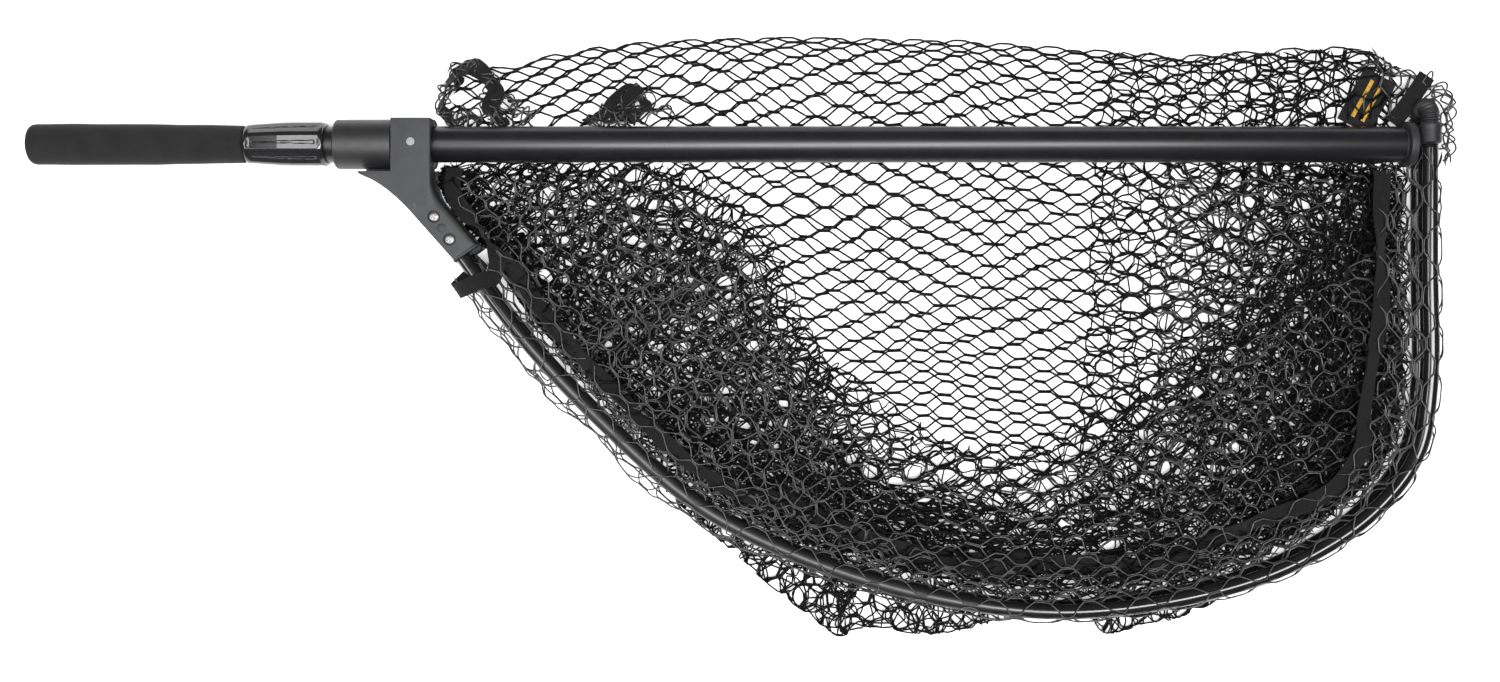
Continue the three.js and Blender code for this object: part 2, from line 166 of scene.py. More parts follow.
class Rail:
    """A plane curve with arc length, inward normals and signed distance."""

    def __init__(self, points):
        self.fill(even(centripetal(points), 500))

    def fill(self, line):
        self.p = line
        self.s = distances(line)
        self.length = self.s[-1]
        t = np.gradient(line, axis=0)
        t /= np.linalg.norm(t, axis=1)[:, None]
        self.n = np.stack([-t[:, 1], t[:, 0]], axis=1)
        return self

    def turned_back(self):
        """The same curve the other way round, so that its inner side is its other side."""
        return self.fill(self.p[::-1])

    def moved(self, away):
        """The same curve, set back to its inner side."""
        return Rail.__new__(Rail).fill(self.p + self.n * away)

    def at(self, s):
        pick = [np.interp(s, self.s, self.p[:, k]) for k in (0, 1)]
        pick += [np.interp(s, self.s, self.n[:, k]) for k in (0, 1)]
        return pick

    def nearest(self, x, y):
        """The points as rows, the curve's sample nearest to each, and the way from it."""
        q = np.stack([np.ravel(x), np.ravel(y)], axis=1)
        j = np.empty(len(q), int)
        for i in range(0, len(q), 20000):
            part = q[i : i + 20000]
            gap = (part**2).sum(1)[:, None] + (self.p**2).sum(1)[None] - 2 * part @ self.p.T
            j[i : i + 20000] = gap.argmin(1)
        return q, j, q - self.p[j]

    def distance(self, x, y):
        """Distance inwards from the curve, and the arc length of the nearest point."""
        _, j, away = self.nearest(x, y)
        d = np.linalg.norm(away, axis=1) * np.sign((away * self.n[j]).sum(1))
        return d.reshape(np.shape(x)), self.s[j].reshape(np.shape(x))

    def folded(self, x, y, soft):
        """The points turned over at the curve onto its inner side, and their old distance."""
        q, j, away = self.nearest(x, y)
        d = (away * self.n[j]).sum(1)
        q = q + self.n[j] * (np.sqrt(d**2 + soft**2) - soft - d)[:, None]
        return [part.reshape(np.shape(x)) for part in (q[:, 0], q[:, 1], d)]


HOOP = Rail(HOOP_POINTS)
BY_HUB = ((8, 98), (8, 30), (8, -22), (14, -46), (44, -80))
BORDER = Rail(BY_HUB + HOOP_POINTS[2:] + ((TIP_X, 40), (TIP_X, 98)))


# ---------------------------------------------------------------- mesh helpers
def new_object(name, mesh):
    obj = bpy.data.objects.new(name, mesh)
    bpy.context.scene.collection.objects.link(obj)
    return obj


def mesh_object(name, verts, faces):
    mesh = bpy.data.meshes.new(name)
    mesh.from_pydata([tuple(v) for v in verts], [], faces)
    mesh.validate()
    mesh.update()
    mesh.shade_smooth()
    return new_object(name, mesh)


def quad_object(name, verts, quads):
    """A mesh object from large arrays of vertices and quads."""
    used, index = np.unique(quads, return_inverse=True)
    index = index.reshape(quads.shape)
    verts = verts[used]
    mesh = bpy.data.meshes.new(name)
    mesh.vertices.add(len(verts))
    mesh.vertices.foreach_set("co", verts.astype(np.float32).ravel())
    mesh.loops.add(index.size)
    mesh.loops.foreach_set("vertex_index", index.astype(np.int32).ravel())
    mesh.polygons.add(len(index))
    mesh.polygons.foreach_set("loop_start", np.arange(0, index.size, 4, dtype=np.int32))
    mesh.polygons.foreach_set("use_smooth", np.ones(len(index), bool))
    mesh.update(calc_edges=True)
    return new_object(name, mesh)


def ring_angles(segments):
    return np.arange(segments) * 2 * math.pi / segments


def lathed(name, x, radius, segments):
    """A skin about the handle axis; x and radius follow its closed section."""
    x, radius, a = np.broadcast_arrays(x, radius, ring_angles(segments))
    grid = np.stack([x, radius * np.cos(a), radius * np.sin(a)], axis=2)
    index = np.arange(x.size).reshape(x.shape)
    after = np.roll(index, -1, 0)
    quads = np.stack([index, np.roll(index, -1, 1), np.roll(after, -1, 1), after], axis=2)
    return quad_object(name, place(grid.reshape(-1, 3)), quads.reshape(-1, 4))


def turned(name, profile, segments=96):
    """A lathe about the handle axis from (x, radius) pairs."""
    x, radius = np.array(profile, float).T
    return tidy(lathed(name, x[:, None], radius[:, None], segments))


def hollow(name, x, radius, bore, segments):
    """A tube about the handle axis, with its outside and its bore as one section."""
    radius, bore = (np.broadcast_to(r, (len(x), segments)) for r in (radius, bore))
    return lathed(name, np.vstack([x, x[::-1]]), np.vstack([radius, bore[::-1]]), segments)


def frames(lines):
    """Two unit vectors across each line at each sample, without twist."""
    t = np.gradient(lines, axis=1)
    t /= np.maximum(np.linalg.norm(t, axis=2), 1e-9)[..., None]
    start = np.cross(t[:, 0], (0.0, 0.0, 1.0))
    weak = np.linalg.norm(start, axis=1) < 0.2
    start[weak] = np.cross(t[weak, 0], (0.0, 1.0, 0.0))
    side = np.empty_like(t)
    side[:, 0] = start / np.linalg.norm(start, axis=1)[:, None]
    for i in range(1, t.shape[1]):
        v = side[:, i - 1]
        v = v - (v * t[:, i]).sum(1)[:, None] * t[:, i]
        side[:, i] = v / np.maximum(np.linalg.norm(v, axis=1), 1e-9)[:, None]
    return side, np.cross(t, side)


def tubes(name, lines, radius, keep=None, sides=5):
    """Round tubes along many lines at once; keep says which samples are there."""
    rows, count = lines.shape[:2]
    side, up = frames(lines)
    a = ring_angles(sides)[:, None]
    r = np.broadcast_to(radius, (rows, count))[..., None, None]
    verts = lines[:, :, None] + r * (np.cos(a) * side[:, :, None] + np.sin(a) * up[:, :, None])
    index = np.arange(rows * count * sides).reshape(rows, count, sides)
    a, b = index[:, :-1], index[:, 1:]
    quads = np.stack([a, np.roll(a, -1, 2), np.roll(b, -1, 2), b], axis=3)
    if keep is not None:
        quads = quads[keep[:, :-1] & keep[:, 1:]]
    return quad_object(name, place(verts.reshape(-1, 3)), quads.reshape(-1, 4))


@contextlib.contextmanager
def edited(mesh):
    """The mesh as a bmesh, written back afterwards."""
    bm = bmesh.new()
    bm.from_mesh(mesh)
    yield bm
    bm.to_mesh(mesh)
    bm.free()


def shade(obj, sharp):
    """Smooth, with an edge kept hard where it turns more than sharp degrees."""
    obj.data.shade_smooth()
    obj.data.set_sharp_from_angle(angle=math.radians(sharp))


def tidy(obj, sharp=32):
    """Merges doubled points, faces outwards, and keeps hard edges hard."""
    with edited(obj.data) as bm:
        bmesh.ops.remove_doubles(bm, verts=bm.verts, dist=1e-6)
        bmesh.ops.dissolve_degenerate(bm, dist=1e-7, edges=bm.edges)
        bmesh.ops.recalc_face_normals(bm, faces=bm.faces)
    shade(obj, sharp)
    return obj


def cap_ends(obj):
    with edited(obj.data) as bm:
        bmesh.ops.holes_fill(bm, edges=[e for e in bm.edges if e.is_boundary])
        bmesh.ops.recalc_face_normals(bm, faces=bm.faces)
    return obj


def rounded(profile, radius=0.6, steps=4):
    """The closed profile with its corners rounded."""
    out = []
    count = len(profile)
    for i in range(count):
        a, b, c = (np.array(profile[(i + k) % count], float) for k in (-1, 0, 1))
        if b[1] <= 1e-6:
            out.append(tuple(b))
            continue
        da, dc = np.linalg.norm(a - b), np.linalg.norm(c - b)
        cut = min(radius, da * 0.4, dc * 0.4)
        p, q = b + (a - b) / da * cut, b + (c - b) / dc * cut
        for k in range(steps + 1):
            t = k / steps
            out.append(tuple((1 - t) ** 2 * p + 2 * t * (1 - t) * b + t * t * q))
    return out


def cut_with(obj, *tools):
    """Takes each tool away from obj, then removes the tools."""
    for tool in tools:
        boolean = obj.modifiers.new("cut", "BOOLEAN")
        boolean.operation = "DIFFERENCE"
        boolean.solver = "EXACT"
        boolean.object = tool
    bake_modifiers(obj)
    for tool in tools:
        bpy.data.objects.remove(tool)
    return obj


def bake_modifiers(obj):
    bpy.context.view_layer.update()
    graph = bpy.context.evaluated_depsgraph_get()
    mesh = bpy.data.meshes.new_from_object(obj.evaluated_get(graph))
    obj.modifiers.clear()
    obj.data = mesh


def post(x, y, low, high, radius, segments=48, top_radius=None):
    """An upright round tool or pin."""
    mesh = bpy.data.meshes.new("post")
    with edited(mesh) as bm:
        bmesh.ops.create_cone(
            bm, cap_ends=True, segments=segments, radius1=radius * MM,
            radius2=(top_radius or radius) * MM, depth=(high - low) * MM,
        )
        bmesh.ops.translate(bm, verts=bm.verts, vec=place((x, y, (low + high) / 2)))
    return new_object("post", mesh)


def block_piece(name, low, high, edge=1.2):
    """A bevelled block between two corners."""
    mesh = bpy.data.meshes.new(name)
    low, high = np.array(low, float), np.array(high, float)
    with edited(mesh) as bm:
        bmesh.ops.create_cube(bm, size=1.0)
        for v in bm.verts:
            v.co = place(mix(low, high, np.array(v.co) + 0.5))
        bmesh.ops.bevel(
            bm, geom=bm.edges[:], offset=edge * MM, segments=3, profile=0.5, affect="EDGES"
        )
    return tidy(new_object(name, mesh))


def mirrored(obj):
    """Turns a piece of the front half into its twin in the back half."""
    obj.data.transform(Matrix.Translation((0, 0, 2 * HUB[2])) @ Matrix.Diagonal((1, 1, -1, 1)))
    obj.data.flip_normals()
    return obj


def finish_piece(obj, look, body, slot, *nodes):
    obj.data.materials.clear()
    obj.data.materials.append(look)
    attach(obj, body)
    if nodes:
        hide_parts(*nodes)
    return obj


# ---------------------------------------------------------------- materials
class Look:
    """A node material built up step by step."""

    def __init__(self, name, rough, metal=0.0, specular=0.5, coat=0.0, coat_rough=0.1, sheen=0.0):
        self.mat = bpy.data.materials.new(name)
        self.mat.use_nodes = True
        self.nodes = self.mat.node_tree.nodes
        self.links = self.mat.node_tree.links
        self.bsdf = self.nodes["Principled BSDF"]
        for socket, value in (
            ("Roughness", rough), ("Metallic", metal), ("Specular IOR Level", specular),
            ("Coat Weight", coat), ("Coat Roughness", coat_rough),
            ("Sheen Weight", sheen), ("Sheen Roughness", 0.5),
        ):
            self.bsdf.inputs[socket].default_value = value
        self.coord = self.nodes.new("ShaderNodeTexCoord")
        self.normal = None

    def feed(self, socket, source):
        """Links a socket to a source, or sets it where the source is a number or a colour."""
        if hasattr(source, "is_output"):
            self.links.new(source, socket)
        elif hasattr(source, "__len__"):
            socket.default_value = (*source, 1)
        else:
            socket.default_value = source

    def noise(self, scale, detail=3.0, stretch=None, uv=False, distort=0.0):
        node = self.nodes.new("ShaderNodeTexNoise")
        for socket, value in (
            ("Scale", scale), ("Detail", detail), ("Roughness", 0.55), ("Distortion", distort)
        ):
            node.inputs[socket].default_value = value
        source = self.coord.outputs["UV" if uv else "Object"]
        if stretch is not None:
            mapping = self.nodes.new("ShaderNodeMapping")
            mapping.inputs["Scale"].default_value = stretch
            self.feed(mapping.inputs["Vector"], source)
            source = mapping.outputs["Vector"]
        self.feed(node.inputs["Vector"], source)
        return node.outputs["Fac"]

    def wave(self, scale, direction):
        node = self.nodes.new("ShaderNodeTexWave")
        node.bands_direction = direction
        node.inputs["Scale"].default_value = scale
        node.inputs["Distortion"].default_value = 0.0
        self.feed(node.inputs["Vector"], self.coord.outputs["UV"])
        return node.outputs["Fac"]

    def ramp(self, fac, *stops):
        node = self.nodes.new("ShaderNodeValToRGB")
        band = node.color_ramp
        while len(band.elements) < len(stops):
            band.elements.new(0.5)
        for element, (at, color) in zip(band.elements, stops):
            element.position = at
            element.color = (*(color if hasattr(color, "__len__") else (color,) * 3), 1)
        self.feed(node.inputs["Fac"], fac)
        return node.outputs["Color"]

    def cloud(self, fac, base, spread, low, high):
        """Runs from a darker to a lighter version of a colour."""
        dark, light = (tuple(c * (1 + k * spread) for c in base) for k in (-1, 1))
        return self.ramp(fac, (low, dark), (high, light))

    def blend(self, fac, a, b, kind="MIX"):
        node = self.nodes.new("ShaderNodeMix")
        node.data_type = "RGBA"
        node.blend_type = kind
        for socket, source in ((0, fac), (6, a), (7, b)):
            self.feed(node.inputs[socket], source)
        return node.outputs[2]

    def times(self, a, b):
        node = self.nodes.new("ShaderNodeMath")
        node.operation = "MULTIPLY"
        self.feed(node.inputs[0], a)
        self.feed(node.inputs[1], b)
        return node.outputs[0]

    def color(self, source):
        self.feed(self.bsdf.inputs["Base Color"], source)

    def rough(self, fac, low, high):
        node = self.nodes.new("ShaderNodeMapRange")
        node.inputs["To Min"].default_value = low
        node.inputs["To Max"].default_value = high
        self.feed(node.inputs["Value"], fac)
        self.feed(self.bsdf.inputs["Roughness"], node.outputs["Result"])

    def bump(self, height, strength, distance_mm):
        node = self.nodes.new("ShaderNodeBump")
        node.inputs["Strength"].default_value = strength
        node.inputs["Distance"].default_value = distance_mm * MM
        self.feed(node.inputs["Height"], height)
        if self.normal is not None:
            self.feed(node.inputs["Normal"], self.normal)
        self.normal = node.outputs["Normal"]
        self.feed(self.bsdf.inputs["Normal"], self.normal)


def plain_look(name, base, rough, spread=0.25, grain_mm=0.05, **more):
    look = Look(name, rough, **more)
    look.color(look.cloud(look.noise(60, 5), base, spread, 0.3, 0.7))
    look.rough(look.noise(140, 4), rough * 0.85, min(1.0, rough * 1.2))
    look.bump(look.noise(900, 2), 0.35, grain_mm)
    return look


def anodised_look():
    look = Look("anodised_tube", 0.34, specular=0.52)
    cloud = look.cloud(look.noise(45, 6), (0.008, 0.008, 0.0092), 0.25, 0.3, 0.72)
    specks = look.ramp(look.noise(420, 2), (0.68, 0.0), (0.76, 1.0))
    look.color(look.blend(look.times(specks, 0.35), cloud, (0.045, 0.045, 0.047)))
    look.rough(look.noise(90, 6, stretch=(0.25, 1, 1)), 0.29, 0.39)
    look.bump(look.noise(1600, 2, stretch=(0.15, 1, 1)), 0.2, 0.02)
    return look


def yoke_look():
    """Satin moulding with a few long hairline scuffs."""
    look = Look("moulded_yoke", 0.55, specular=0.22)
    cloud = look.cloud(look.noise(70, 6), (0.044, 0.0448, 0.047), 0.12, 0.3, 0.72)
    streak = look.noise(110, 3, stretch=(1.0, 0.12, 1.0), distort=1.4)
    scuff = look.ramp(streak, (0.492, 0.0), (0.5, 1.0), (0.508, 0.0))
    gate = look.ramp(look.noise(38, 2), (0.52, 0.0), (0.6, 1.0))
    marks = look.times(look.times(scuff, gate), 0.35)
    look.color(look.blend(marks, cloud, (0.2, 0.2, 0.205)))
    look.rough(look.noise(150, 4), 0.42, 0.6)
    look.bump(look.noise(1500, 2), 0.3, 0.035)
    return look


def foam_look():
    look = Look("eva_foam", 0.92, specular=0.2, sheen=0.05)
    cells = look.noise(1300, 3)
    mottle = look.blend(0.5, look.noise(55, 4), cells)
    look.color(look.cloud(mottle, (0.0145, 0.0145, 0.015), 0.3, 0.35, 0.68))
    look.bump(cells, 0.6, 0.16)
    look.bump(look.noise(60, 3), 0.3, 0.35)
    return look


def twine_look(name, base, rough, specular):
    look = Look(name, rough, specular=specular)
    look.color(look.cloud(look.noise(110, 4), base, 0.75, 0.36, 0.62))
    look.rough(look.noise(700, 3), rough * 0.75, rough * 1.35)
    look.bump(look.noise(1500, 3), 0.7, 0.35)
    return look


def webbing_look(name, base):
    """Woven tape: ribs and rows on the piece's own weave map, under a felted mottling."""
    look = Look(name, 0.85, specular=0.2, sheen=0.06)
    weave = look.blend(0.5, look.wave(0.42, "X"), look.wave(0.55, "Y"), "MULTIPLY")
    felt = look.blend(0.6, look.noise(0.9, 3, uv=True), look.noise(0.28, 4, uv=True))
    look.color(look.cloud(look.blend(0.6, weave, felt), base, 0.8, 0.32, 0.66))
    look.bump(weave, 0.8, 0.3)
    look.bump(look.noise(1.6, 3, uv=True), 0.4, 0.15)
    return look


def steel_look():
    look = Look("screw_steel", 0.42, 1.0)
    look.color(look.ramp(look.noise(500, 4), (0.3, (0.2, 0.19, 0.185)), (0.7, (0.4, 0.39, 0.375))))
    look.rough(look.noise(900, 3), 0.36, 0.6)
    look.bump(look.noise(1800, 2), 0.25, 0.03)
    return look


def rod_look():
    """Gloss black, rubbed duller where the bag's hem has chafed it."""
    look = Look("gloss_rod", 0.14, specular=0.5, coat=0.15, coat_rough=0.08)
    look.color(look.ramp(look.noise(80, 4), (0.3, 0.0065), (0.7, 0.011)))
    place_x = look.nodes.new("ShaderNodeSeparateXYZ")
    look.feed(place_x.inputs[0], look.coord.outputs["Object"])
    rubbed = look.ramp(place_x.outputs["X"], (0.1, 0.0), (0.18, 1.0), (0.44, 1.0), (0.6, 0.0))
    worn = look.blend(0.25, rubbed, look.noise(120, 5))
    look.rough(worn, 0.1, 0.56)
    look.bump(look.noise(260, 2), 0.08, 0.02)
    return look


LOOKS = {
    "tube": anodised_look().mat,
    "rod": rod_look().mat,
    "yoke": yoke_look().mat,
    "sleeve": plain_look("sleeve_satin", (0.011, 0.011, 0.012), 0.5, specular=0.6).mat,
    "nylon": plain_look("nylon_satin", (0.028, 0.028, 0.03), 0.45).mat,
    "cap": plain_look("cap_nylon", (0.022, 0.022, 0.024), 0.5, specular=0.35).mat,
    "gloss": plain_look("nylon_gloss", (0.012, 0.012, 0.013), 0.16, grain_mm=0.015, coat=0.4).mat,
    "steel": steel_look().mat,
    "button": plain_look("button_grey", (0.24, 0.24, 0.245), 0.5, spread=0.08).mat,
    "rubber": plain_look("rubber", (0.014, 0.014, 0.0155), 0.5, spread=0.2, specular=0.35).mat,
    "foam": foam_look().mat,
    # Two copies of one twine, lit and shaded: this first one has a lighter base and stronger specular as
    # painted light on the top layers; the next one has a near-black base and weak specular as painted shade
    # on the layers lying under others.
    "netting": twine_look("net_twine", (0.014, 0.014, 0.0145), 0.32, 0.72).mat,
    "netting_painted_shade": twine_look("net_twine_painted_shade", (0.0016, 0.0016, 0.0017), 0.4, 0.12).mat,
    "webbing": webbing_look("webbing", (0.0085, 0.0085, 0.0088)).mat,
    "patch": webbing_look("patch_cloth", (0.014, 0.014, 0.015)).mat,
    "stitch": webbing_look("gold_stitch", (0.62, 0.36, 0.05)).mat,
}


# ---------------------------------------------------------------- yokes
def arc_points(a, b, c, count, r0, r1):
    """(x, y, edge radius) along a quadratic curve from a by b to c, without its last point."""
    points = []
    for t in np.arange(count) / count:
        x, y = ((1 - t) ** 2 * a[k] + 2 * t * (1 - t) * b[k] + t * t * c[k] for k in (0, 1))
        points.append((x, y, mix(r0, r1, t)))
    return points


def straight(a, b, shares):
    """(x, y, edge radius) at shares of the way from a to b."""
    return [tuple(mix(p, q, t) for p, q in zip(a, b)) for t in shares]


def arm_outline():
    """(x, y, edge radius) round the arm, as seen from above, counter-clockwise."""
    fine, side = 0.9, 4.6
    out = [(-16.5, 19.5, fine), (-16.5, -24.3, 0.5), (-43.5, -24.3, 0.5)]
    out += arc_points((-43.5, -24.9), (-42.6, -27), (-39, -28), 5, 0.6, fine)
    out += arc_points((-39, -28), (-19, -35.5), (4, -62), 22, fine, fine)
    out += straight((4, -62, fine), (35.5, -97.5, fine), np.linspace(0, 1, 8))
    out += straight((35.5, -97.5, fine), (53.5, -84.5, 1.6), (0.25, 0.5, 0.75))
    out += straight((53.5, -84.5, 3.4), (24.5, -50.5, side), np.linspace(0, 0.95, 8))
    out += arc_points((24.5, -50.5), (17.5, -43), (16, -32), 8, side, 1.6)
    return out + [(16, -20, 1.1), (16, 0, fine), (16, 19.5, fine), (0, 19.5, fine)]


def arm_block(name, outline):
    """The arm's solid: its outline with a rounded edge round the flat outer face."""
    p = np.array(outline)
    xy, r = p[:, :2], p[:, 2]
    t = np.roll(xy, -1, 0) - np.roll(xy, 1, 0)
    t /= np.linalg.norm(t, axis=1)[:, None]
    inward = np.stack([-t[:, 1], t[:, 0]], axis=1)
    levels = []
    for k in range(7):
        a = math.radians(90 * k / 6)
        inset = r * (1 - math.sin(a))
        z = ARM_OUT - r * (1 - math.cos(a))
        levels.append(np.column_stack([xy + inward * inset[:, None], z]))
    low = 0.5
    levels.append(np.column_stack([xy, np.full(len(xy), ARM_IN + low)]))
    levels.append(np.column_stack([xy + inward * low, np.full(len(xy), ARM_IN)]))
    n = len(xy)
    faces = [tuple(range(n)), tuple(reversed(range(n * (len(levels) - 1), n * len(levels))))]
    for k in range(len(levels) - 1):
        for i in range(n):
            j = (i + 1) % n
            faces.append((k * n + j, k * n + i, (k + 1) * n + i, (k + 1) * n + j))
    return tidy(mesh_object(name, place(np.vstack(levels)), faces), 40)


def solid_rod(left, right, radius):
    """A tool for boring along the handle axis."""
    return turned("tool", [(left, 0.0), (left, radius), (right, radius), (right, 0.0)], 72)


def leg_direction():
    a, b = np.array(HOOP_POINTS[0], float), np.array(HOOP_POINTS[1], float)
    return (b - a) / np.linalg.norm(b - a)


def socket_tool():
    """The bore that the rod's end sits in, along the arm's leg."""
    d = leg_direction()
    line = np.array([np.append(np.array(HOOP_POINTS[0]) + d * s, ROD_PLANE) for s in (-2, 20, 45, 80)])
    return cap_ends(tubes("socket", line[None], ROD_R + 0.25, sides=40))


def screw_wells():
    tools = []
    for x, y in SCREW_SPOTS:
        tools.append(post(x, y, ARM_OUT - 2.9, ARM_OUT + 1, 4.75))
        tools.append(post(x, y, ARM_OUT - 0.5, ARM_OUT + 0.5, 4.75, top_radius=5.8))
    tools.append(post(*PLUG_SPOT, ARM_OUT - 2.4, ARM_OUT + 1, 3.55))
    return tools


def mouth_rim(name):
    """The moulded bead round the mouth of the rod socket."""
    d = leg_direction()
    end = np.array([45.0, -91.2])
    across = np.array([-d[1], d[0]])
    half_w, half_h, corner = 11.6, 9.9, 5.5
    points = []
    for k in range(48):
        a = 2 * math.pi * k / 48
        c, s = math.cos(a), math.sin(a)
        w = (half_w - corner) * np.sign(c) + corner * c
        h = (half_h - corner) * np.sign(s) + corner * s
        points.append(np.append(end + across * w, 11.2 + h))
    line = np.array(points + points[:1])
    return tidy(tubes(name, line[None], 1.25, sides=12), 60)


def front_yoke():
    arm = arm_block("yoke_front", arm_outline())
    knuckle = turned("knuckle", rounded([
        (-16.5, KNUCKLE_BORE_R), (13.3, KNUCKLE_BORE_R), (13.3, 19.7), (16, 19.7), (16, SLEEVE_R),
        (-16.5, SLEEVE_R)], 0.3))
    cut_with(
        arm, solid_rod(-60, 40, KNUCKLE_BORE_R), solid_rod(13.3, 20, 19.7), socket_tool(),
        post(0, 0, 10, ARM_OUT + 1, 3.85), *screw_wells(),
    )
    tidy(arm, 40)
    finish_piece(arm, LOOKS["yoke"], "front_frame", "yoke", "front_yoke")
    finish_piece(knuckle, LOOKS["yoke"], "front_frame", "yoke")
    finish_piece(mouth_rim("yoke_front_rim"), LOOKS["yoke"], "front_frame", "yoke")


def back_yoke():
    arm = mirrored(arm_block("yoke_back", arm_outline()))
    foot = block_piece("foot", (-43.5, -26, FLOOR_Z), (-17, 12, -8))
    wells = [mirrored(tool) for tool in screw_wells()]
    cut_with(arm, solid_rod(-17.2, 60, SWEEP_R), mirrored(socket_tool()), *wells)
    cut_with(arm, solid_rod(-80, 60, BORE_R))
    cut_with(foot, solid_rod(-80, 60, BORE_R))
    tidy(arm, 40)
    sleeve = turned("hub_sleeve", rounded([
        (-65.6, BORE_R), (-17, BORE_R), (-17, SLEEVE_R), (-65.6, SLEEVE_R)], 2.6, 8), 128)
    groove_r = 16.9
    journal = turned("hub_journal", rounded([
        (-17.5, BORE_R), (15.7, BORE_R), (15.7, JOURNAL_R), (15, JOURNAL_R), (15, groove_r),
        (13.6, groove_r), (13.6, JOURNAL_R), (-17.5, JOURNAL_R)], 0.2, 2))
    finish_piece(arm, LOOKS["yoke"], "back_frame", "yoke", "back_yoke")
    finish_piece(foot, LOOKS["yoke"], "back_frame", "yoke")
    finish_piece(sleeve, LOOKS["sleeve"], "back_frame", "yoke")
    finish_piece(journal, LOOKS["sleeve"], "back_frame", "yoke")
    finish_piece(mirrored(mouth_rim("yoke_back_rim")), LOOKS["yoke"], "back_frame", "yoke")


# ---------------------------------------------------------------- fasteners
def pan_head(name, x, y):
    """A domed screw head with a cross recess."""
    radius, edge = 4.15, 1.1
    top, low = ARM_OUT - 0.35, ARM_OUT - 2.8
    dome = top - low - edge
    profile = [(0.0, top)]
    profile += [(radius * math.sin(a), low + edge + dome * math.cos(a))
                for a in np.linspace(0.18, math.pi / 2, 10)]
    profile += [(radius, low), (0.0, low)]
    segments, count = 48, len(profile)
    verts, faces = [], []
    for j, a in enumerate(ring_angles(segments)):
        verts += [(x + r * math.cos(a), y + r * math.sin(a), z) for r, z in profile]
        k = (j + 1) % segments
        faces += [(j * count + i, k * count + i, k * count + i + 1, j * count + i + 1)
                  for i in range(count - 1)]
    head = tidy(mesh_object(name, place(verts), faces))
    bars = []
    for turn in (0.5, 0.5 + math.pi / 2):
        bar = block_piece("bar", (-2.3, -0.55, 0), (2.3, 0.55, 3), 0.2)
        spin = Matrix.Rotation(turn, 4, "Z")
        move = Matrix.Translation(Vector(place((x, y, top - 1.5))))
        bar.data.transform(move @ spin @ Matrix.Translation(-Vector(HUB)))
        bars.append(bar)
    cut_with(head, *bars)
    return tidy(head, 30)


def fasteners():
    for side, turn_over in (("front", lambda obj: obj), ("back", mirrored)):
        body = f"{side}_frame"
        for i, (x, y) in enumerate(SCREW_SPOTS, 1):
            screw = turn_over(pan_head(f"screw_{side}_{i}", x, y))
            finish_piece(screw, LOOKS["steel"], body, "steel", f"{side}_screw_{i}")
        plug = round_button(f"plug_{side}", *PLUG_SPOT, ARM_OUT - 2.2, ARM_OUT - 0.1, 3.4)
        finish_piece(turn_over(plug), LOOKS["cap"], body, "nylon", f"{side}_plug")
    button = round_button("button", 0, 0, 19.8, ARM_OUT + 0.25, 3.5)
    finish_piece(button, LOOKS["button"], "lock_button", "button", "lock_button")


def round_button(name, x, y, low, high, radius):
    """A round pin with its top edge rounded."""
    obj = post(x, y, low, high, radius, 64)
    obj.name = name
    top = place((0, 0, high))[2]
    with edited(obj.data) as bm:
        rim = [e for e in bm.edges if all(abs(v.co.z - top) < 1e-6 for v in e.verts)]
        bmesh.ops.bevel(bm, geom=rim, offset=0.35 * MM, segments=3, profile=0.5, affect="EDGES")
    return tidy(obj)


# ---------------------------------------------------------------- hoop rods and tip
def hoop_rods():
    for side, z in (("front", ROD_PLANE), ("back", -ROD_PLANE)):
        line = even(HOOP.p, 420)
        line = np.column_stack([line, np.full(len(line), z)])
        line[-1, 1] = HOOP_POINTS[-1][1]
        rod = cap_ends(tubes(f"rod_{side}", line[None], ROD_R, sides=40))
        finish_piece(rod, LOOKS["rod"], f"{side}_frame", "rod", f"{side}_rod")


def elbow_line():
    """Up along the front rod's end, over in a half turn, and down along the back rod's."""
    rise, reach, start_y = 18.0, 17.0, -0.7
    t = np.linspace(0, 1, 60)[:, None]
    a, b = np.array([TIP_X, rise, ROD_PLANE]), np.array([TIP_X, rise + reach, ROD_PLANE])
    c, d = b * (1, 1, -1), a * (1, 1, -1)
    turn = (1 - t) ** 3 * a + 3 * t * (1 - t) ** 2 * b + 3 * t * t * (1 - t) * c + t**3 * d
    return np.vstack([(TIP_X, start_y, ROD_PLANE), turn, (TIP_X, start_y, -ROD_PLANE)])


def tip_elbow():
    """Rubber moulding: two smooth cuffs joined by a ribbed bend."""
    line = even(elbow_line(), 520)
    length = distances(line)[-1]
    s = np.linspace(0, length, len(line))
    from_end = np.minimum(s, length - s)
    cuff = 1 - smooth((from_end - 15.5) / 1.5)
    ribs = 7.0 + 0.75 * np.cos(2 * math.pi * (from_end - 17) / 2.6)
    lip = smooth(from_end / 1.2)
    radius = mix(ribs, mix(7.6, 8.7, lip) + 0.35 * smooth((from_end - 11) / 4), cuff)
    obj = cap_ends(tubes("elbow", line[None], radius[None], sides=48))
    obj.data.shade_smooth()
    finish_piece(obj, LOOKS["rubber"], "back_frame", "rubber", "tip_elbow")
    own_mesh(obj)


# ---------------------------------------------------------------- handle and grip
def handle_parts():
    start = -100
    tube = turned("tube", rounded([
        (start, TUBE_BORE_R), (TUBE_END, TUBE_BORE_R), (TUBE_END, TUBE_R), (start, TUBE_R)], 0.5, 3), 160)
    finish_piece(tube, LOOKS["tube"], "handle", "tube", "main_tube")
    left = TUBE_END + 2.2
    right = left + 6.7
    cap = turned("cap", rounded([
        (left - 24, 0.0), (left - 24, 13.2), (left, 13.2), (left, 19.0), (right, 19.0),
        (right, 14.0), (right - 1.4, 12.6), (right - 1.4, 0.0)], 1.3, 6), 128)
    finish_piece(cap, LOOKS["cap"], "handle", "nylon", "tube_end_cap")
    finish_piece(end_washer(), LOOKS["cap"], "handle", "steel", "end_washer")


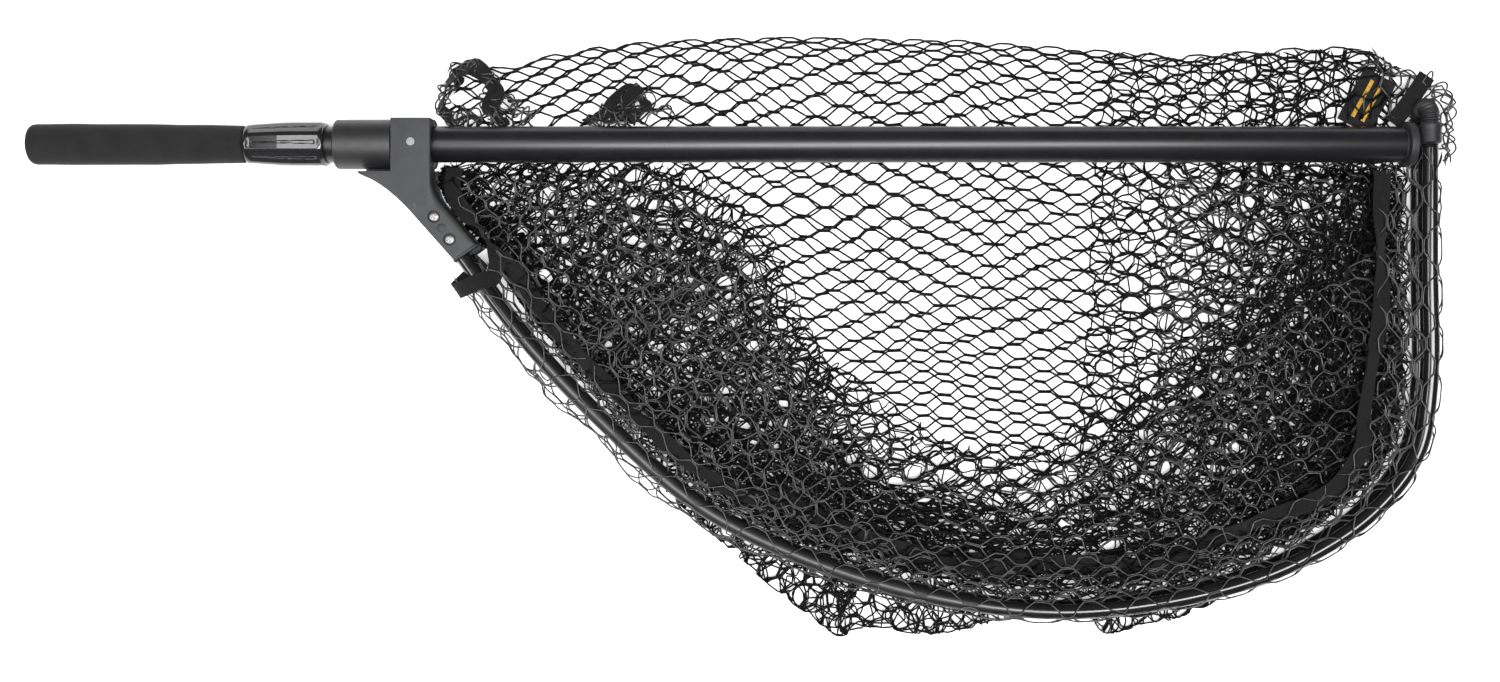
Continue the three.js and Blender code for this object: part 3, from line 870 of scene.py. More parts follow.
def end_washer():
    """A crimped spring washer, so that only its crests catch the light."""
    segments = 144
    lift = 0.35 * np.sin(12 * ring_angles(segments))
    x = TUBE_END + np.array([0.55, 1.1, 1.1, 0.55])[:, None] + lift
    radius = np.array([13.5, 13.5, 14.3, 14.3])[:, None]
    return tidy(lathed("washer", x, radius, segments))


def twist_nut():
    """Eight-flat sleeve with a slim wedge-shaped recess on each flat."""
    left, right = -140.6, -73.1
    segments = 384
    x = np.linspace(left, right, 150)[:, None]
    outer = np.interp(
        x, [left, left + 1.2, left + 3, left + 12, left + 30, left + 40, right - 4, right - 1.2, right],
        [14.2, 15.9, 16.6, 17.3, 18.5, 18.8, 18.8, 18.2, 16.6])
    facet = smooth((x - left - 1) / 6) * (1 - smooth((x - right + 5) / 4))
    flat = math.pi / 4
    sector = (ring_angles(segments) + flat / 2) % flat - flat / 2
    octagon = np.minimum(0.957 / np.cos(sector), 1.003)
    r = outer * mix(1.0, octagon, facet)
    run = (x - (left + 8)) / 52.0
    half_width = 0.3 + 1.1 * np.clip(run, 0, 1)
    inside = smooth((half_width - np.abs(r * np.tan(sector))) / 0.4 + 0.5)
    inside = inside * smooth(run / 0.03) * (1 - smooth((run - 1) / 0.02))
    bore = np.where(x < left + 9.6, INNER_BORE_R, BORE_R)
    obj = tidy(hollow("nut", x, r - 0.55 * inside, bore, segments), 50)
    finish_piece(obj, LOOKS["gloss"], "twist_lock", "gloss_nylon", "twist_lock_nut")


def foam_grip():
    """Slightly tapered foam sleeve with rolled ends and shallow dents."""
    left, right = -319.7, -141.0
    segments = 96
    x = np.linspace(left, right, 220)[:, None]
    r = np.interp(
        x, [left, left + 0.8, left + 2.4, left + 5, left + 60, left + 100, right - 8, right - 1.5, right],
        [13.9, 15.4, 16.5, 17.0, 17.0, 16.75, 15.6, 15.4, 14.3])
    dent = Ripple(5, 45)(x, ring_angles(segments) * 17) * 0.09
    fade = smooth((x - left) / 6) * (1 - smooth((x - right + 4) / 4))
    obj = tidy(hollow("foam", x, r + dent * fade, INNER_BORE_R, segments), 60)
    finish_piece(obj, LOOKS["foam"], "grip", "foam", "foam_grip")


# ---------------------------------------------------------------- netting
TWINE_R = 0.68  # of the netting in the gathers
CELL = (39.7, 19.0)  # two columns of meshes along, one mesh across
SLACK = (35.0, 22.5)  # the same twine hanging loose
JOIN = 5.0  # half the length where two strands are joined side by side
APART = 0.5  # half the gap between two joined strands
NET_LEFT_X = 18.5  # the netting ends here, past the knuckle


def strands(u0, u1, v0, v1, cell):
    """Zigzag strands of a knotless mesh over a rectangle: arrays of u and v."""
    half_x, half_y = cell[0] / 2, cell[1] / 2
    columns = np.arange(math.floor(u0 / half_x), math.ceil(u1 / half_x) + 1)
    rows = np.arange(math.floor(v0 / half_y), math.ceil(v1 / half_y) + 1)
    run = half_x - 2 * JOIN
    offsets = np.array([-JOIN, 0, JOIN, JOIN + run / 3, JOIN + 2 * run / 3])
    u = (columns[:, None] * half_x + offsets[None]).ravel()
    odd = (columns[None] + rows[:, None]) % 2 == 1
    level = np.where(odd, rows[:, None], rows[:, None] + 1) * half_y
    level = level + np.where(odd, APART, -APART)
    nxt = np.concatenate([level[:, 1:], level[:, -1:]], axis=1)
    share = np.array([0, 0, 0, 1 / 3, 2 / 3])
    v = (level[:, :, None] + (nxt - level)[:, :, None] * share).reshape(len(rows), -1)
    v[:, 1:-1] = (v[:, :-2] + 9 * v[:, 1:-1] + v[:, 2:]) / 11
    return np.broadcast_to(u[None], v.shape).copy(), v


def long_runs(keep, shortest):
    """Drops runs of kept samples that are too short to be a strand."""
    padded = np.pad(keep, ((0, 0), (1, 1)))
    flips = np.diff(padded.astype(np.int8), axis=1)
    keep = keep.copy()
    for row in range(len(keep)):
        starts = np.flatnonzero(flips[row] == 1)
        ends = np.flatnonzero(flips[row] == -1)
        for i, j in zip(starts, ends):
            if j - i < shortest:
                keep[row, i:j] = False
    return keep


def net_piece(name, lines, keep, body, radius, look):
    """A piece of netting made of the kept parts of the strands, thin at each loose end."""
    torn = np.linalg.norm(np.diff(lines, axis=1), axis=2) > 15.0
    keep = keep.copy()
    keep[:, :-1] &= ~torn
    keep[:, 1:] &= ~torn
    keep = long_runs(keep, 6)
    used = keep.any(1)
    lines, keep = lines[used], keep[used]
    padded = np.pad(keep, ((0, 0), (1, 1)))
    ends = keep & ~(padded[:, :-2] & padded[:, 2:])
    obj = tubes(name, lines, np.where(ends, radius * 0.15, radius), keep)
    obj.data.materials.append(LOOKS[look])
    if body is not None:
        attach(obj, body)
    return obj


def turned_grid(centre, reach, turn):
    """Slack strands over a turned rectangle: x and y."""
    u, v = strands(-reach[0], reach[0], -reach[1], reach[1], SLACK)
    c, s = math.cos(math.radians(turn)), math.sin(math.radians(turn))
    return centre[0] + c * u - s * v, centre[1] + s * u + c * v


def warped(x, y, seed, amounts):
    """Moves the points by smooth random fields; amounts are (size, wavelength) pairs."""
    dx, dy = 0, 0
    for size, wavelength in amounts:
        dx = dx + size * Ripple(seed, wavelength)(x, y)
        dy = dy + size * Ripple(seed + 1, wavelength)(x, y)
        seed += 2
    return x + dx, y + dy


def top_edge(x):
    """Height of the fold edge past the handle."""
    return np.interp(
        x, [8, 27, 50, 68, 118, 169, 236, 312, 455, 590, 640, 700, 760, 800, 822, 850],
        [42, 70, 68, 66, 79, 87, 91, 93, 90, 80, 76, 80, 84, 82, 66, 52],
    )


class Gaps:
    """Round gaps where the meshes of all the loose layers have slid open together."""

    def __init__(self, seed, low, high, pitch, sizes):
        rng = np.random.RandomState(seed)
        columns, rows = (np.arange((high[k] - low[k]) / pitch) for k in (0, 1))
        gx, gy = np.meshgrid(columns, rows)
        x = (low[0] + (gx + 0.5 * (gy % 2) + rng.uniform(-0.36, 0.36, gx.shape)) * pitch).ravel()
        y = (low[1] + (gy + rng.uniform(-0.36, 0.36, gx.shape)) * pitch).ravel()
        size = rng.uniform(sizes[0], sizes[1], x.shape)
        stretch = rng.uniform(1.1, 2.2, x.shape)
        turn = rng.uniform(0, math.pi, x.shape)
        chance = rng.uniform(0, 1, x.shape)
        rim, _ = BORDER.distance(x, y)
        gathered = np.zeros(x.shape, bool)
        for fold in (LEFT_FOLD, LOW_FOLD, RIGHT_FOLD):
            gathered |= fold.distance(x, y)[0] > 7
        used = gathered & (rim > 22) & (chance < 0.25 + 0.7 * smooth((rim - 40) / 50))
        self.table = np.stack([x, y, size, stretch, turn], 1)[used]

    def open(self, x, y, share=1.0):
        """Moves the points out of the gaps."""
        x, y = x.copy(), y.copy()
        for gx, gy, r, k, turn in self.table:
            inner, outer, c, s = r * share, 2.3 * r, math.cos(turn), math.sin(turn)
            near = np.nonzero((np.abs(x - gx) < outer * 1.5) & (np.abs(y - gy) < outer * 1.5))
            dx, dy = x[near] - gx, y[near] - gy
            u, v = (c * dx + s * dy) / math.sqrt(k), (c * dy - s * dx) * math.sqrt(k)
            d = np.maximum(np.hypot(u, v), 1e-3)
            push = np.where(d < outer, (inner + d * (1 - inner / outer)) / d, 1.0)
            u, v = u * push * math.sqrt(k), v * push / math.sqrt(k)
            x[near], y[near] = gx + c * u - s * v, gy + s * u + c * v
        return x, y


def below_tube(y, z):
    """Keeps the netting under the handle tube where it crosses it."""
    near = 1 - smooth((np.abs(y) - 16.5) / 12)
    return mix(z, np.minimum(z, -TUBE_R - 1.6 - 0.2 * np.abs(z + 18)), near)


def main_sheet(name, seed, shift, cell, turn, front):
    """One half of the bag's slack middle, folded at the edge past the handle."""
    u, v = strands(-30, 900, 0, 560, cell)
    slope = math.tan(math.radians(turn))
    jx, jy = warped(u, v, seed, ((2.0, 150), (0.4, 38)))
    x = jx + shift[0] + slope * v
    down = v - 12 * (1 - np.exp(-v / 24.0))
    y = top_edge(x) - down + (shift[1] + jy - v) * smooth(v / 30) + slope * 0.3 * (x - 400)
    x, y = GAPS.open(x, y, 0.8)
    d, _ = BORDER.distance(x, y)
    keep = (d > (18 if front else 11)) & (x > NET_LEFT_X) & (x < TIP_X - 10)
    z = np.full_like(x, FLOOR_Z + 0.95)
    if front:
        low = FLOOR_Z + 2.5
        z = mix(low, -12.5 + 1.5 * Ripple(seed + 3, 160)(x, y), smooth((np.abs(y) - 20) / 40))
        by_rod = smooth((70 - d) / 50) * smooth((-y - 25) / 50)
        z = mix(z, ROD_PLANE + 2, by_rod)
        z = mix(low, z, smooth(v / 14 + 0.25))
    body = None if front else "back_frame"
    # The main sheets take the near-black twine copy, its darkness painted shade.
    return net_piece(name, np.stack([x, y, z], 2), keep, body, 0.88, "netting_painted_shade")


def hem(name, seed, front):
    """Netting folded round a rod and sewn to itself along the rim tape."""
    top, wrap, low = 46.0, 27.0, 36.0
    s, v = strands(40, HOOP.length, 0, top + wrap + low, (40.5, 18.6))
    bulge = Ripple(seed, 70)(s, 0 * v)
    slack = np.interp(
        s, [0, 60, 200, 330, 450, 560, 640, 760, 1100], [11, 10, 8, 6.5, 3.5, 2.5, 1.0, 0.4, 0.5])
    out = 7.4 + slack * (1 + 0.25 * bulge)
    s, v = s + 1.2 * Ripple(seed + 2, 60)(s, v), v + 1.0 * Ripple(seed + 3, 60)(s, v)
    a = np.clip((v - top) / wrap, 0, 1) * math.pi
    side = np.where(v < top, top - v, np.maximum(v - top - wrap, 0))
    d = np.where(side > 0, side, -out * np.sin(a) ** 0.45)
    height = np.where(side > 0, mix(7.7, 3.0, smooth(side / 30)), 7.7 * np.abs(np.cos(a)) ** 0.8)
    height = np.where(a > math.pi / 2, -height, height)
    x, y, nx, ny = HOOP.at(np.clip(s, 0, HOOP.length))
    x, y = x + nx * d, y + ny * d
    keep = (s > 54) & (s < HOOP.length - 3) & (v > 0) & (v < top + wrap + low)
    keep &= (y < -17) | (x > TIP_X - 12)
    z = (1 if front else -1) * (ROD_PLANE + height)
    body = "front_frame" if front else "back_frame"
    # The hem takes the lighter, glossier twine copy, painted light for netting on top.
    net_piece(name, np.stack([x, y, z], 2), keep, body, 0.66, "netting")


def gather_body(high):
    """A gather that lies over the parting plane goes with the front half."""
    return "front_frame" if high > -3 else "back_frame"


def slack_sheet(name, seed, grid, fold, heights, below, amounts, look, radius):
    """Loose netting in two layers, folded over at the fold's line."""
    x, y = turned_grid(*grid)
    x, y = warped(x, y, seed, amounts)
    pleat = Ripple(seed + 9, 60)(x, y)
    x, y, d = fold.folded(x, y, 3.0)
    over = 0.5 + 0.5 * np.tanh(d / 8)
    x, y = GAPS.open(x, y, 0.7 if look == "netting" else 1.0)
    z = mix(*heights, 0.15 + 0.7 * over + 0.1 * pleat)
    z = below_tube(y, np.maximum(z, NET_FLOOR_Z))
    inside, _ = BORDER.distance(x, y)
    keep = (inside > 10) & (x > NET_LEFT_X) & (x < TIP_X - 8) & (y < top_edge(x))
    if below:
        keep &= y < -12
    lines = np.stack([x, y, z], 2)
    net_piece(name, lines, keep, gather_body(heights[1]), radius, look)


def ruffle(name, seed, turn):
    """Netting that has slid out under the hoop, folded at its outer edge."""
    x, y = turned_grid((430, -370), (290, 290), turn)
    x, y = warped(x, y, seed, ((3.0, 90), (0.9, 30)))
    x, y, d = RUFFLE_FOLD.folded(x, y, 3.0)
    outside, s = HOOP.distance(x, y)
    flat = smooth((outside + 14) / 6)
    rise = 3.5 + 2.5 * np.tanh(d / 8) + Ripple(seed + 7, 40)(x, y)
    z = FLOOR_Z + 1.2 + np.maximum(rise, 0) * (1 - flat) + 0.6 * (d > 0)
    keep = (outside < 14) & (s > 120) & (s < 830) & (d < 60)
    # The ruffle takes the near-black twine copy, its darkness painted shade.
    net_piece(name, np.stack([x, y, z], 2), keep, "back_frame", 0.75, "netting_painted_shade")


def rim_sheet(name, seed, span, near, far, squeeze, heights):
    """Netting pulled along the rim: squeezed across it, so its strands run beside the rod."""
    s, v = strands(span[0], span[1], 0, (far - near) / squeeze, CELL)
    s, v = warped(s, v, seed, ((5.0, 140), (1.2, 60)))
    d = near + v * squeeze + 5.0 * Ripple(seed + 5, 170)(s, 0 * v)
    x, y, nx, ny = HOOP.at(np.clip(s, 0, HOOP.length))
    x, y = GAPS.open(x + nx * d, y + ny * d)
    z = mix(*heights, 0.5 + 0.35 * Ripple(seed + 6, 60)(s, v))
    z = below_tube(y, np.maximum(z, NET_FLOOR_Z))
    ends = smooth((s - span[0]) / 60) * smooth((span[1] - s) / 60)
    keep = (d > near - 6) & (d < near + (far - near) * (0.35 + 0.65 * ends)) & (x > 22) & (y < -13)
    lines = np.stack([x, y, z], 2)
    # Rim sheets take the near-black twine copy, its darkness painted shade.
    net_piece(name, lines, keep, gather_body(heights[1]), 0.7, "netting_painted_shade")


def net_over_tip(name, seed):
    """Netting pulled over the rubber elbow and folded beyond it."""
    x, y = turned_grid((825, 30), (110, 90), 80)
    x, y = warped(x, y, seed, ((3.0, 60), (0.7, 26)))
    x, y, d = TIP_FOLD.folded(x, y, 3.0)
    away = np.hypot(x - TIP_X, np.maximum(y - 22, 0))
    top = mix(ROD_PLANE + 10.6, -6.0, smooth((away - 7.5) / 14))
    z = np.where(d > 0, top, -13.0)
    z = z + 1.2 * Ripple(seed + 5, 30)(x, y) * smooth((away - 8) / 6)
    over_cap = smooth((22 - np.abs(y)) / 4) * smooth((836 - x) / 4)
    keep = (np.abs(d) < 46) & ((y > 3) | (x > 852)) & (over_cap < 0.1) & ((d > 0) | (away > 13))
    keep &= (x > 786) & (y < top_edge(x) + 2)
    # Netting over the tip takes the lighter, glossier twine copy, painted light for netting on top.
    net_piece(name, np.stack([x, y, z], 2), keep, "back_frame", 0.8, "netting")


# the slack gathers end at the first three folds, round the clear window in the middle
LEFT_FOLD = Rail(
    ((170, 30), (228, -15), (242, -25), (270, -47), (291, -66), (304, -87), (312, -106), (320, -135),
     (331, -156), (342, -180), (352, -201), (361, -224), (374, -258), (396, -300), (430, -345))
).turned_back()
LOW_FOLD = Rail(
    ((262, -90), (305, -135), (337, -168), (363, -190), (386, -207), (407, -223), (428, -238), (455, -250),
     (482, -251), (511, -248), (533, -240), (556, -228), (590, -208), (640, -170), (700, -122), (770, -70),
     (838, -20))
).turned_back()
RIGHT_FOLD = Rail(((557, -330), (556, -260), (555, -220), (561, -160), (564, -95), (566, -40), (568, 0),
                   (572, 40), (580, 110))).turned_back()

RUFFLE_FOLD = Rail(
    ((150, -215), (190, -272), (228, -310), (266, -344), (299, -373), (333, -399), (352, -412), (380, -405),
     (426, -411), (455, -408), (493, -399), (531, -397), (565, -398), (577, -410), (594, -408), (607, -403),
     (641, -397), (690, -372), (760, -335))
)
TIP_FOLD = Rail(((853, -30), (857, -18), (864, -4), (868, 21), (868, 44), (857, 59), (839, 58), (818, 62),
                 (805, 76), (790, 90)))


GAPS = Gaps(42, (30, -380), (830, 40), 21.0, (1.9, 5.2))


CALM, LOOSE = ((4.0, 130), (0.5, 60)), ((6.0, 100), (0.9, 50))
# The twine copy for each sheet: the painted-light one for top layers, the painted-shade one for layers
# lying under others.
PAINTED_LIT, PAINTED_SHADE = "netting", "netting_painted_shade"

# piece, first seed, fold, centre, reach and twine of each gather, and for each of its sheets how
# far it is set back from the fold, its turn, its heights, if it stays below the handle, and its look
GATHERS = (
    ("net_left", 100, LEFT_FOLD, (215, -175), (300, 260), TWINE_R, (
        (24, 97, (-4, 9), True, CALM, PAINTED_LIT), (0, 20, (-18, -9), True, LOOSE, PAINTED_SHADE),
        (9, 78, (-12, 2), True, CALM, PAINTED_SHADE), (60, 130, (-19, -9), True, LOOSE, PAINTED_SHADE),
        (36, 45, (-19, -10), True, LOOSE, PAINTED_SHADE),
    )),
    ("net_right", 300, RIGHT_FOLD, (700, -140), (330, 330), 0.76, (
        (0, 35, (-16, -6), False, CALM, PAINTED_SHADE), (125, 60, (-18, -6), False, LOOSE, PAINTED_SHADE),
        (60, 10, (-12, -4), True, CALM, PAINTED_LIT), (150, 100, (-19, -8), True, LOOSE, PAINTED_SHADE),
        (96, 130, (-19, -9), True, LOOSE, PAINTED_SHADE),
    )),
    ("net_low", 500, LOW_FOLD, (560, -250), (400, 260), TWINE_R, (
        (0, 12, (-11, 1), True, LOOSE, PAINTED_SHADE), (12, 40, (-19, -9), True, LOOSE, PAINTED_SHADE),
        (30, 172, (-6, 8), True, CALM, PAINTED_LIT), (52, 110, (-19, -8), True, LOOSE, PAINTED_SHADE),
    )),
)

# where each rim sheet starts and ends along the rod, how near and far it lies, squeeze, heights
RIM_SHEETS = (
    ((60, 620), 26, 85, 0.4, (-8, 4)), ((60, 700), 18, 70, 0.35, (-17, -8)),
    ((330, 1060), 22, 95, 0.42, (-8, 4)), ((380, 1130), 16, 80, 0.36, (-17, -8)),
    ((900, 1180), 40, 95, 0.3, (-16, -4)), ((940, 1200), 45, 110, 0.34, (-8, 2)),
    ((860, 1215), 12, 42, 0.36, (-17, -5)), ((300, 800), 8, 48, 0.36, (-17, -6)),
    ((340, 780), 5, 42, 0.42, (-6, 5)),
)


def netting():
    front = main_sheet("net_front", 11, (0.0, 0.0), CELL, 0.6, True)
    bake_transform(front)
    back = main_sheet("net_back", 31, (6.0, 3.0), (40.4, 17.5), -0.8, False)
    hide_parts("net_bag")
    hem("net_hem_front", 51, True)
    hem("net_hem_back", 61, False)
    for piece, first_seed, fold, centre, reach, twine, sheets in GATHERS:
        for i, (back, turn, heights, below, amounts, look) in enumerate(sheets):
            slack_sheet(
                f"{piece}_{i + 1}", first_seed + 20 * i, (centre, reach, turn), fold.moved(back),
                heights, below, amounts, look, twine,
            )
    for i, sheet in enumerate(RIM_SHEETS):
        rim_sheet(f"net_rim_{i + 1}", 700 + 20 * i, *sheet)
    for i, turn in enumerate((85, 12, 50)):
        ruffle(f"net_ruffle_{i + 1}", 901 + 20 * i, turn)
    net_over_tip("net_tip", 951)


# ---------------------------------------------------------------- tapes
def ribbon(name, line, width, thick, look, body, roll=0.0, slot="webbing", nodes=()):
    """A flat woven tape along a line, lying level unless rolled, with its own weave map."""
    t, side, up = level_frame(line)
    angle = np.broadcast_to(roll, len(line))[:, None]
    across = side * np.cos(angle) + up * np.sin(angle)
    over = np.cross(t, across)
    w = np.linspace(-0.5, 0.5, 9)
    half = thick / 2 + 0.15 * (1 - (2 * w) ** 2)  # upper face, a little bowed
    half_low = thick - half
    upper = [line + across * (width * k) + over * h for k, h in zip(w, half)]
    lower = [line + across * (width * k) - over * h for k, h in zip(w, half_low)]
    verts = np.stack(upper + lower[::-1], axis=1)
    k = verts.shape[1]
    index = np.arange(len(line) * k).reshape(-1, k)
    a, b = index[:-1], index[1:]
    quads = np.stack([a, b, np.roll(b, -1, 1), np.roll(a, -1, 1)], axis=2).reshape(-1, 4)
    obj = quad_object(name, place(verts.reshape(-1, 3)), quads)
    along = distances(line)
    vertex = np.empty(len(obj.data.loops), np.int32)
    obj.data.loops.foreach_get("vertex_index", vertex)
    across_mm = np.concatenate([w, w[::-1]]) * width
    uv = np.stack([along[vertex // k], across_mm[vertex % k]], axis=1)
    obj.data.uv_layers.new(name="weave").data.foreach_set("uv", uv.astype(np.float32).ravel())
    cap_ends(obj)
    shade(obj, 50)
    finish_piece(obj, look, body, slot, *nodes)


def rim_tapes():
    """Binding sewn along the inside of each rod; it lies below the gathers at the bottom."""
    s = np.linspace(62, HOOP.length - 22, 320)
    x, y, nx, ny = HOOP.at(s)
    sunk = 15 * smooth((s - 300) / 130) * smooth((870 - s) / 110)
    for side, sign, seed in (("front", 1, 71), ("back", -1, 81)):
        sway, lift, turn = (Ripple(seed + k, size)(s, 0) for k, size in enumerate((120, 70, 90)))
        inset = np.interp(s, [62, 150, 300, 500, 700, 850, 1000, 1150], [24, 23, 29, 34, 33, 38, 44, 43])
        inset = inset + 4.0 * sway
        z = sign * (ROD_PLANE - sunk) + 1.2 * lift
        line = np.column_stack([x + nx * inset, y + ny * inset, z])
        ribbon(f"tape_{side}", line, 13.0, 1.2, LOOKS["webbing"], f"{side}_frame", 0.35 * turn,
               nodes=(f"{side}_rim_tape",))


def strap_loop():
    """Webbing that comes down beside the yoke's leg and turns once round the front rod."""
    d = leg_direction()
    across = np.array([-d[1], d[0]])
    points = [(31, -19, -6), (31, -40, 0), (45, -61, 7), (61, -79, 12), (70, -97, 15)]
    centre = np.array([54.0, -111.0])
    for k in range(17):
        a = math.radians(30 + 19 * k)
        w = (11 if math.cos(a) > 0 else 21) * math.cos(a)
        spot = centre + across * w + d * (8 - 1.15 * k)
        points.append((*spot, ROD_PLANE + 9.6 * math.sin(a)))
    line = even(centripetal(points, 14), 260)
    _, side, up = level_frame(line)
    # the tape's width lies along the rod where it goes round it
    want = np.array([d[0], d[1], 0.0])
    roll = np.unwrap(2 * np.arctan2(up @ want, side @ want)) / 2
    share = smooth((np.linspace(0, 1, len(line)) - 0.2) / 0.2)
    ribbon("strap", line, 13.5, 1.3, LOOKS["webbing"], "front_frame", roll * share,
           nodes=("strap_loop",))


def scrunched(name, seed, points, twist, node=None, width=10.0):
    """Tie tape pulled into a twisted, bunched run through the points."""
    line = even(centripetal(points, 20), 260)
    s = np.linspace(0, distances(line)[-1], 260)
    line = line + np.stack([1.5 * Ripple(seed + k, 26)(s, 0 * s) for k in range(3)], 1)
    line[:, 2] = np.maximum(line[:, 2], FLOOR_Z + 6)
    roll = twist * Ripple(seed + 8, 48)(s, 0 * s)
    ribbon(name, line, width, 1.1, LOOKS["webbing"], "back_frame", roll,
           nodes=(node,) if node else ())


def caught_net(name, seed, points, reach, turns, count=5, look="netting"):
    """Loose twine of the net's fold, caught up in loops round a line through the points."""
    line = even(centripetal(points, 20), 900)
    _, side, up = level_frame(line)
    share = np.linspace(0, 1, len(line))
    by_tube = (line[:, 1] > 0) & (line[:, 0] < TUBE_END)
    lines = []
    for k in range(count):
        swell = reach * (0.75 + 0.35 * Ripple(seed + 3 * k, 0.3)(share, 0 * share))
        angle = 2 * math.pi * (turns * share + k / count)
        angle = angle * (1 if k % 2 else -1) + Ripple(seed + 3 * k + 1, 0.4)(share, 0 * share)
        wide, tall = swell * np.cos(angle), 0.55 * swell * np.sin(angle)
        loop = line + side * wide[:, None] + up * tall[:, None]
        loop[:, 2] = np.maximum(loop[:, 2], NET_FLOOR_Z)
        loop[:, 1] = np.where(by_tube, np.maximum(loop[:, 1], TUBE_R + 1.5), loop[:, 1])
        arm_edge = np.interp(-loop[:, 1], [0, 32, 50, 85, 100], [17.5, 17.5, 25.3, 55, 66])
        loop[:, 0] = np.where(line[:, 1] < 0, np.maximum(loop[:, 0], arm_edge), loop[:, 0])
        lines.append(loop[::3])
    lines = np.array(lines)
    keep = np.ones(lines.shape[:2], bool)
    # Unless told otherwise, caught twine takes the lighter, glossier twine copy, painted light for netting
    # on top.
    net_piece(name, lines, keep, "back_frame", 0.75, look)


def hub_ties():
    """The bunch of tape and caught netting past the handle by the hub."""
    z = FLOOR_Z + 11
    ring = ((60, 17, z - 3), (50, 30, z), (52, 44, z + 2), (46, 57, z + 3), (34, 68, z + 2), (22, 61, z),
            (12, 44, z + 2), (9, 30, z), (16, 20, z - 2), (30, 24, z + 1), (42, 19, z - 2))
    inner = ((70, 22, z), (60, 33, z + 4), (61, 48, z + 5), (52, 60, z + 4), (40, 64, z + 1), (30, 52, z))
    scrunched("tie_hub_1", 4, [(x + 12, y, h) for x, y, h in ring], 1.2, "tie_knot_2")
    scrunched("tie_hub_2", 14, inner, 1.6)
    caught_net("net_tied_1", 60, [(x + 11, y + 1, h) for x, y, h in ring], 7.0, 7)
    loose = ((96, 22, z), (84, 30, z), (78, 42, z), (70, 30, z), (58, 22, z))
    caught_net("net_tied_2", 66, loose, 8.0, 3, 4)


def middle_ties():
    """The bow of tape further along the top fold."""
    z = FLOOR_Z + 11
    bow = ((142, 19, z - 3), (154, 25, z), (164, 30, z + 3), (171, 41, z + 4), (182, 45, z + 2),
           (190, 38, z), (184, 28, z - 1), (172, 24, z + 2), (178, 36, z + 5), (186, 48, z + 1))
    tail = ((150, 20, z - 2), (162, 22, z + 1), (174, 29, z + 4), (180, 22, z))
    scrunched("tie_mid_1", 24, bow, 1.4, "tie_knot_1")
    scrunched("tie_mid_2", 34, tail, 1.0, width=11.0)
    caught_net("net_tied_3", 90, bow, 7.5, 4, 4)
    caught_net("net_tied_4", 96, ((150, 19, z), (176, 22, z), (205, 30, z), (214, 22, z)), 7.0, 3, 3)


def gathered_twine():
    """Twine bunched along the yoke's leg, and loops of it past the tip."""
    z = FLOOR_Z + 11
    arm = ((25, -20, z - 5), (27, -34, z - 4), (33, -46, z - 3), (48, -60, z - 3), (64, -78, z - 4),
           (84, -104, z - 4))
    edge = ((22.5, -17, -14), (22.5, -34, -8), (31, -50, -10), (46, -68, -6), (61, -85, -8))
    # The bunched twine by the leg takes the near-black twine copy, its darkness painted shade.
    caught_net("net_tied_5", 102, arm, 7.5, 9, 9, "netting_painted_shade")
    caught_net("net_tied_6", 132, [(x + 13, y, h) for x, y, h in arm], 9.0, 7, 7, "netting_painted_shade")
    caught_net("net_tied_7", 160, edge, 4.2, 12, 9, "netting_painted_shade")
    beyond = ((858, -14, -3), (861, 4, 0), (861, 26, 0), (857, 44, -2), (846, 54, -4), (828, 59, -7),
              (806, 69, -9))
    caught_net("net_tip_loops", 200, beyond, 6.0, 4.4, 3)


def label_patch():
    """A plain cloth patch with two stitched stripes, turned a little off the handle's square."""
    c, s = math.cos(math.radians(62)), math.sin(math.radians(62))
    low = FLOOR_Z + 9.0

    def cloth(name, long, short, offset, z, look, thick, nodes=()):
        t = np.linspace(-long / 2, long / 2, 60)
        bend = 1.1 * np.sin(t / 9.0 + offset * 0.1)
        line = np.column_stack([797.0 + c * t - s * offset, 38.0 + s * t + c * offset, z + bend])
        ribbon(name, line, short, thick, LOOKS[look], "back_frame", slot="patch", nodes=nodes)

    cloth("patch", 48, 30, 0, low, "patch", 1.0, ("label_patch",))
    for i, offset in enumerate((-4.5, 4.5)):
        cloth(f"patch_stripe_{i + 1}", 34, 3.2, offset, low + 1.1, "stitch", 0.5)


def tapes():
    rim_tapes()
    strap_loop()
    hub_ties()
    middle_ties()
    gathered_twine()
    label_patch()
    side = centripetal([(844, 58, -4), (836, 46, -4), (826, 31, -6), (817, 19, -9)], 20)
    ribbon("tape_tip", even(side, 60), 14.0, 1.3, LOOKS["webbing"], "back_frame")


# ---------------------------------------------------------------- carried-over CAD nodes
def carried_nodes():
    """The hidden CAD nodes are shown as they are, with a look each."""
    looks = {
        "hub_liner": "nylon", "hub_circlip": "steel", "button_spring": "steel", "collet": "nylon",
        "inner_tube": "tube", "inner_guide": "nylon", "butt_cap": "rubber",
    }
    for node, look in looks.items():
        obj = frame["nodes"][node]
        if not obj.material_slots:
            obj.data.materials.append(LOOKS[look])
        for slot in obj.material_slots:
            slot.material = LOOKS[look]


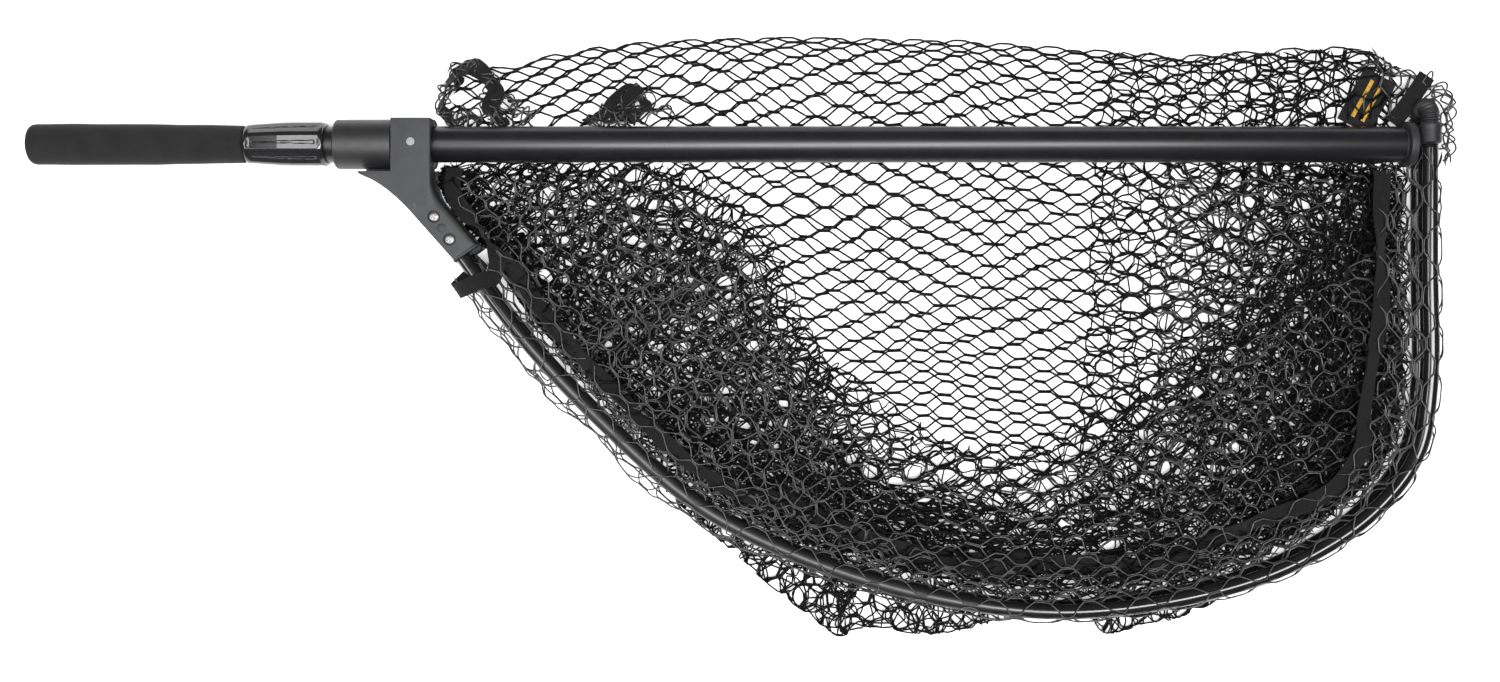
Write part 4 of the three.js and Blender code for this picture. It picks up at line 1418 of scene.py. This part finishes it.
# ---------------------------------------------------------------- camera, floor and light
def stage():
    """An even white floor with a little glow of its own, and a dim sky."""
    look = Look("floor", 0.8, specular=0.1)
    look.color(look.ramp(look.noise(3, 2), (0.3, 0.9), (0.7, 0.93)))
    look.feed(look.bsdf.inputs["Emission Color"], (1, 1, 1))
    look.feed(look.bsdf.inputs["Emission Strength"], 0.42)
    size, z = 8.0, -0.0004
    corners = [(-size, -size, z), (size, -size, z), (size, size, z), (-size, size, z)]
    floor = mesh_object("floor", corners, [(0, 1, 2, 3)])
    floor.data.materials.append(look.mat)

    world = bpy.data.worlds.new("studio")
    bpy.context.scene.world = world
    world.use_nodes = True
    sky = world.node_tree.nodes["Background"]
    sky.inputs["Color"].default_value = (0.97, 0.98, 1.0, 1)
    sky.inputs["Strength"].default_value = 0.08


def softbox(name, spot, aim, width, height, power):
    light = bpy.data.lights.new(name, "AREA")
    light.shape = "RECTANGLE"
    light.size, light.size_y = width, height
    light.energy = power
    obj = new_object(name, light)
    obj.location = spot
    obj.rotation_euler = (Vector(aim) - Vector(spot)).to_track_quat("-Z", "Y").to_euler()


def lights():
    softbox("overhead", (0.55, -0.38, 2.3), (0.48, -0.14, 0), 2.0, 0.78, 84)
    softbox("left", (-1.45, -0.4, 1.75), (0.2, -0.15, 0), 1.2, 0.8, 26)
    softbox("behind_grip", (-0.76, 0.3, 2.3), (-0.07, 0, 0), 0.6, 0.4, 6)


def camera():
    """Straight down from above the middle of the folded net."""
    cam = bpy.data.cameras.new("camera")
    obj = new_object("camera", cam)
    height, view_width = 1330.0, 1249.5  # over the hub, and what the view takes in there
    obj.location = Vector(place((278.4, -163.7, height)))
    cam.sensor_width = 36.0
    cam.lens = cam.sensor_width * height / view_width
    cam.clip_start = 0.05
    bpy.context.scene.camera = obj


def view_settings():
    view = bpy.context.scene.view_settings
    view.view_transform = "Standard"
    view.look = "None"
    view.exposure = 0.0


camera()
stage()
lights()
view_settings()
front_yoke()
back_yoke()
fasteners()
hoop_rods()
tip_elbow()
handle_parts()
twist_nut()
foam_grip()
netting()
tapes()
carried_nodes()
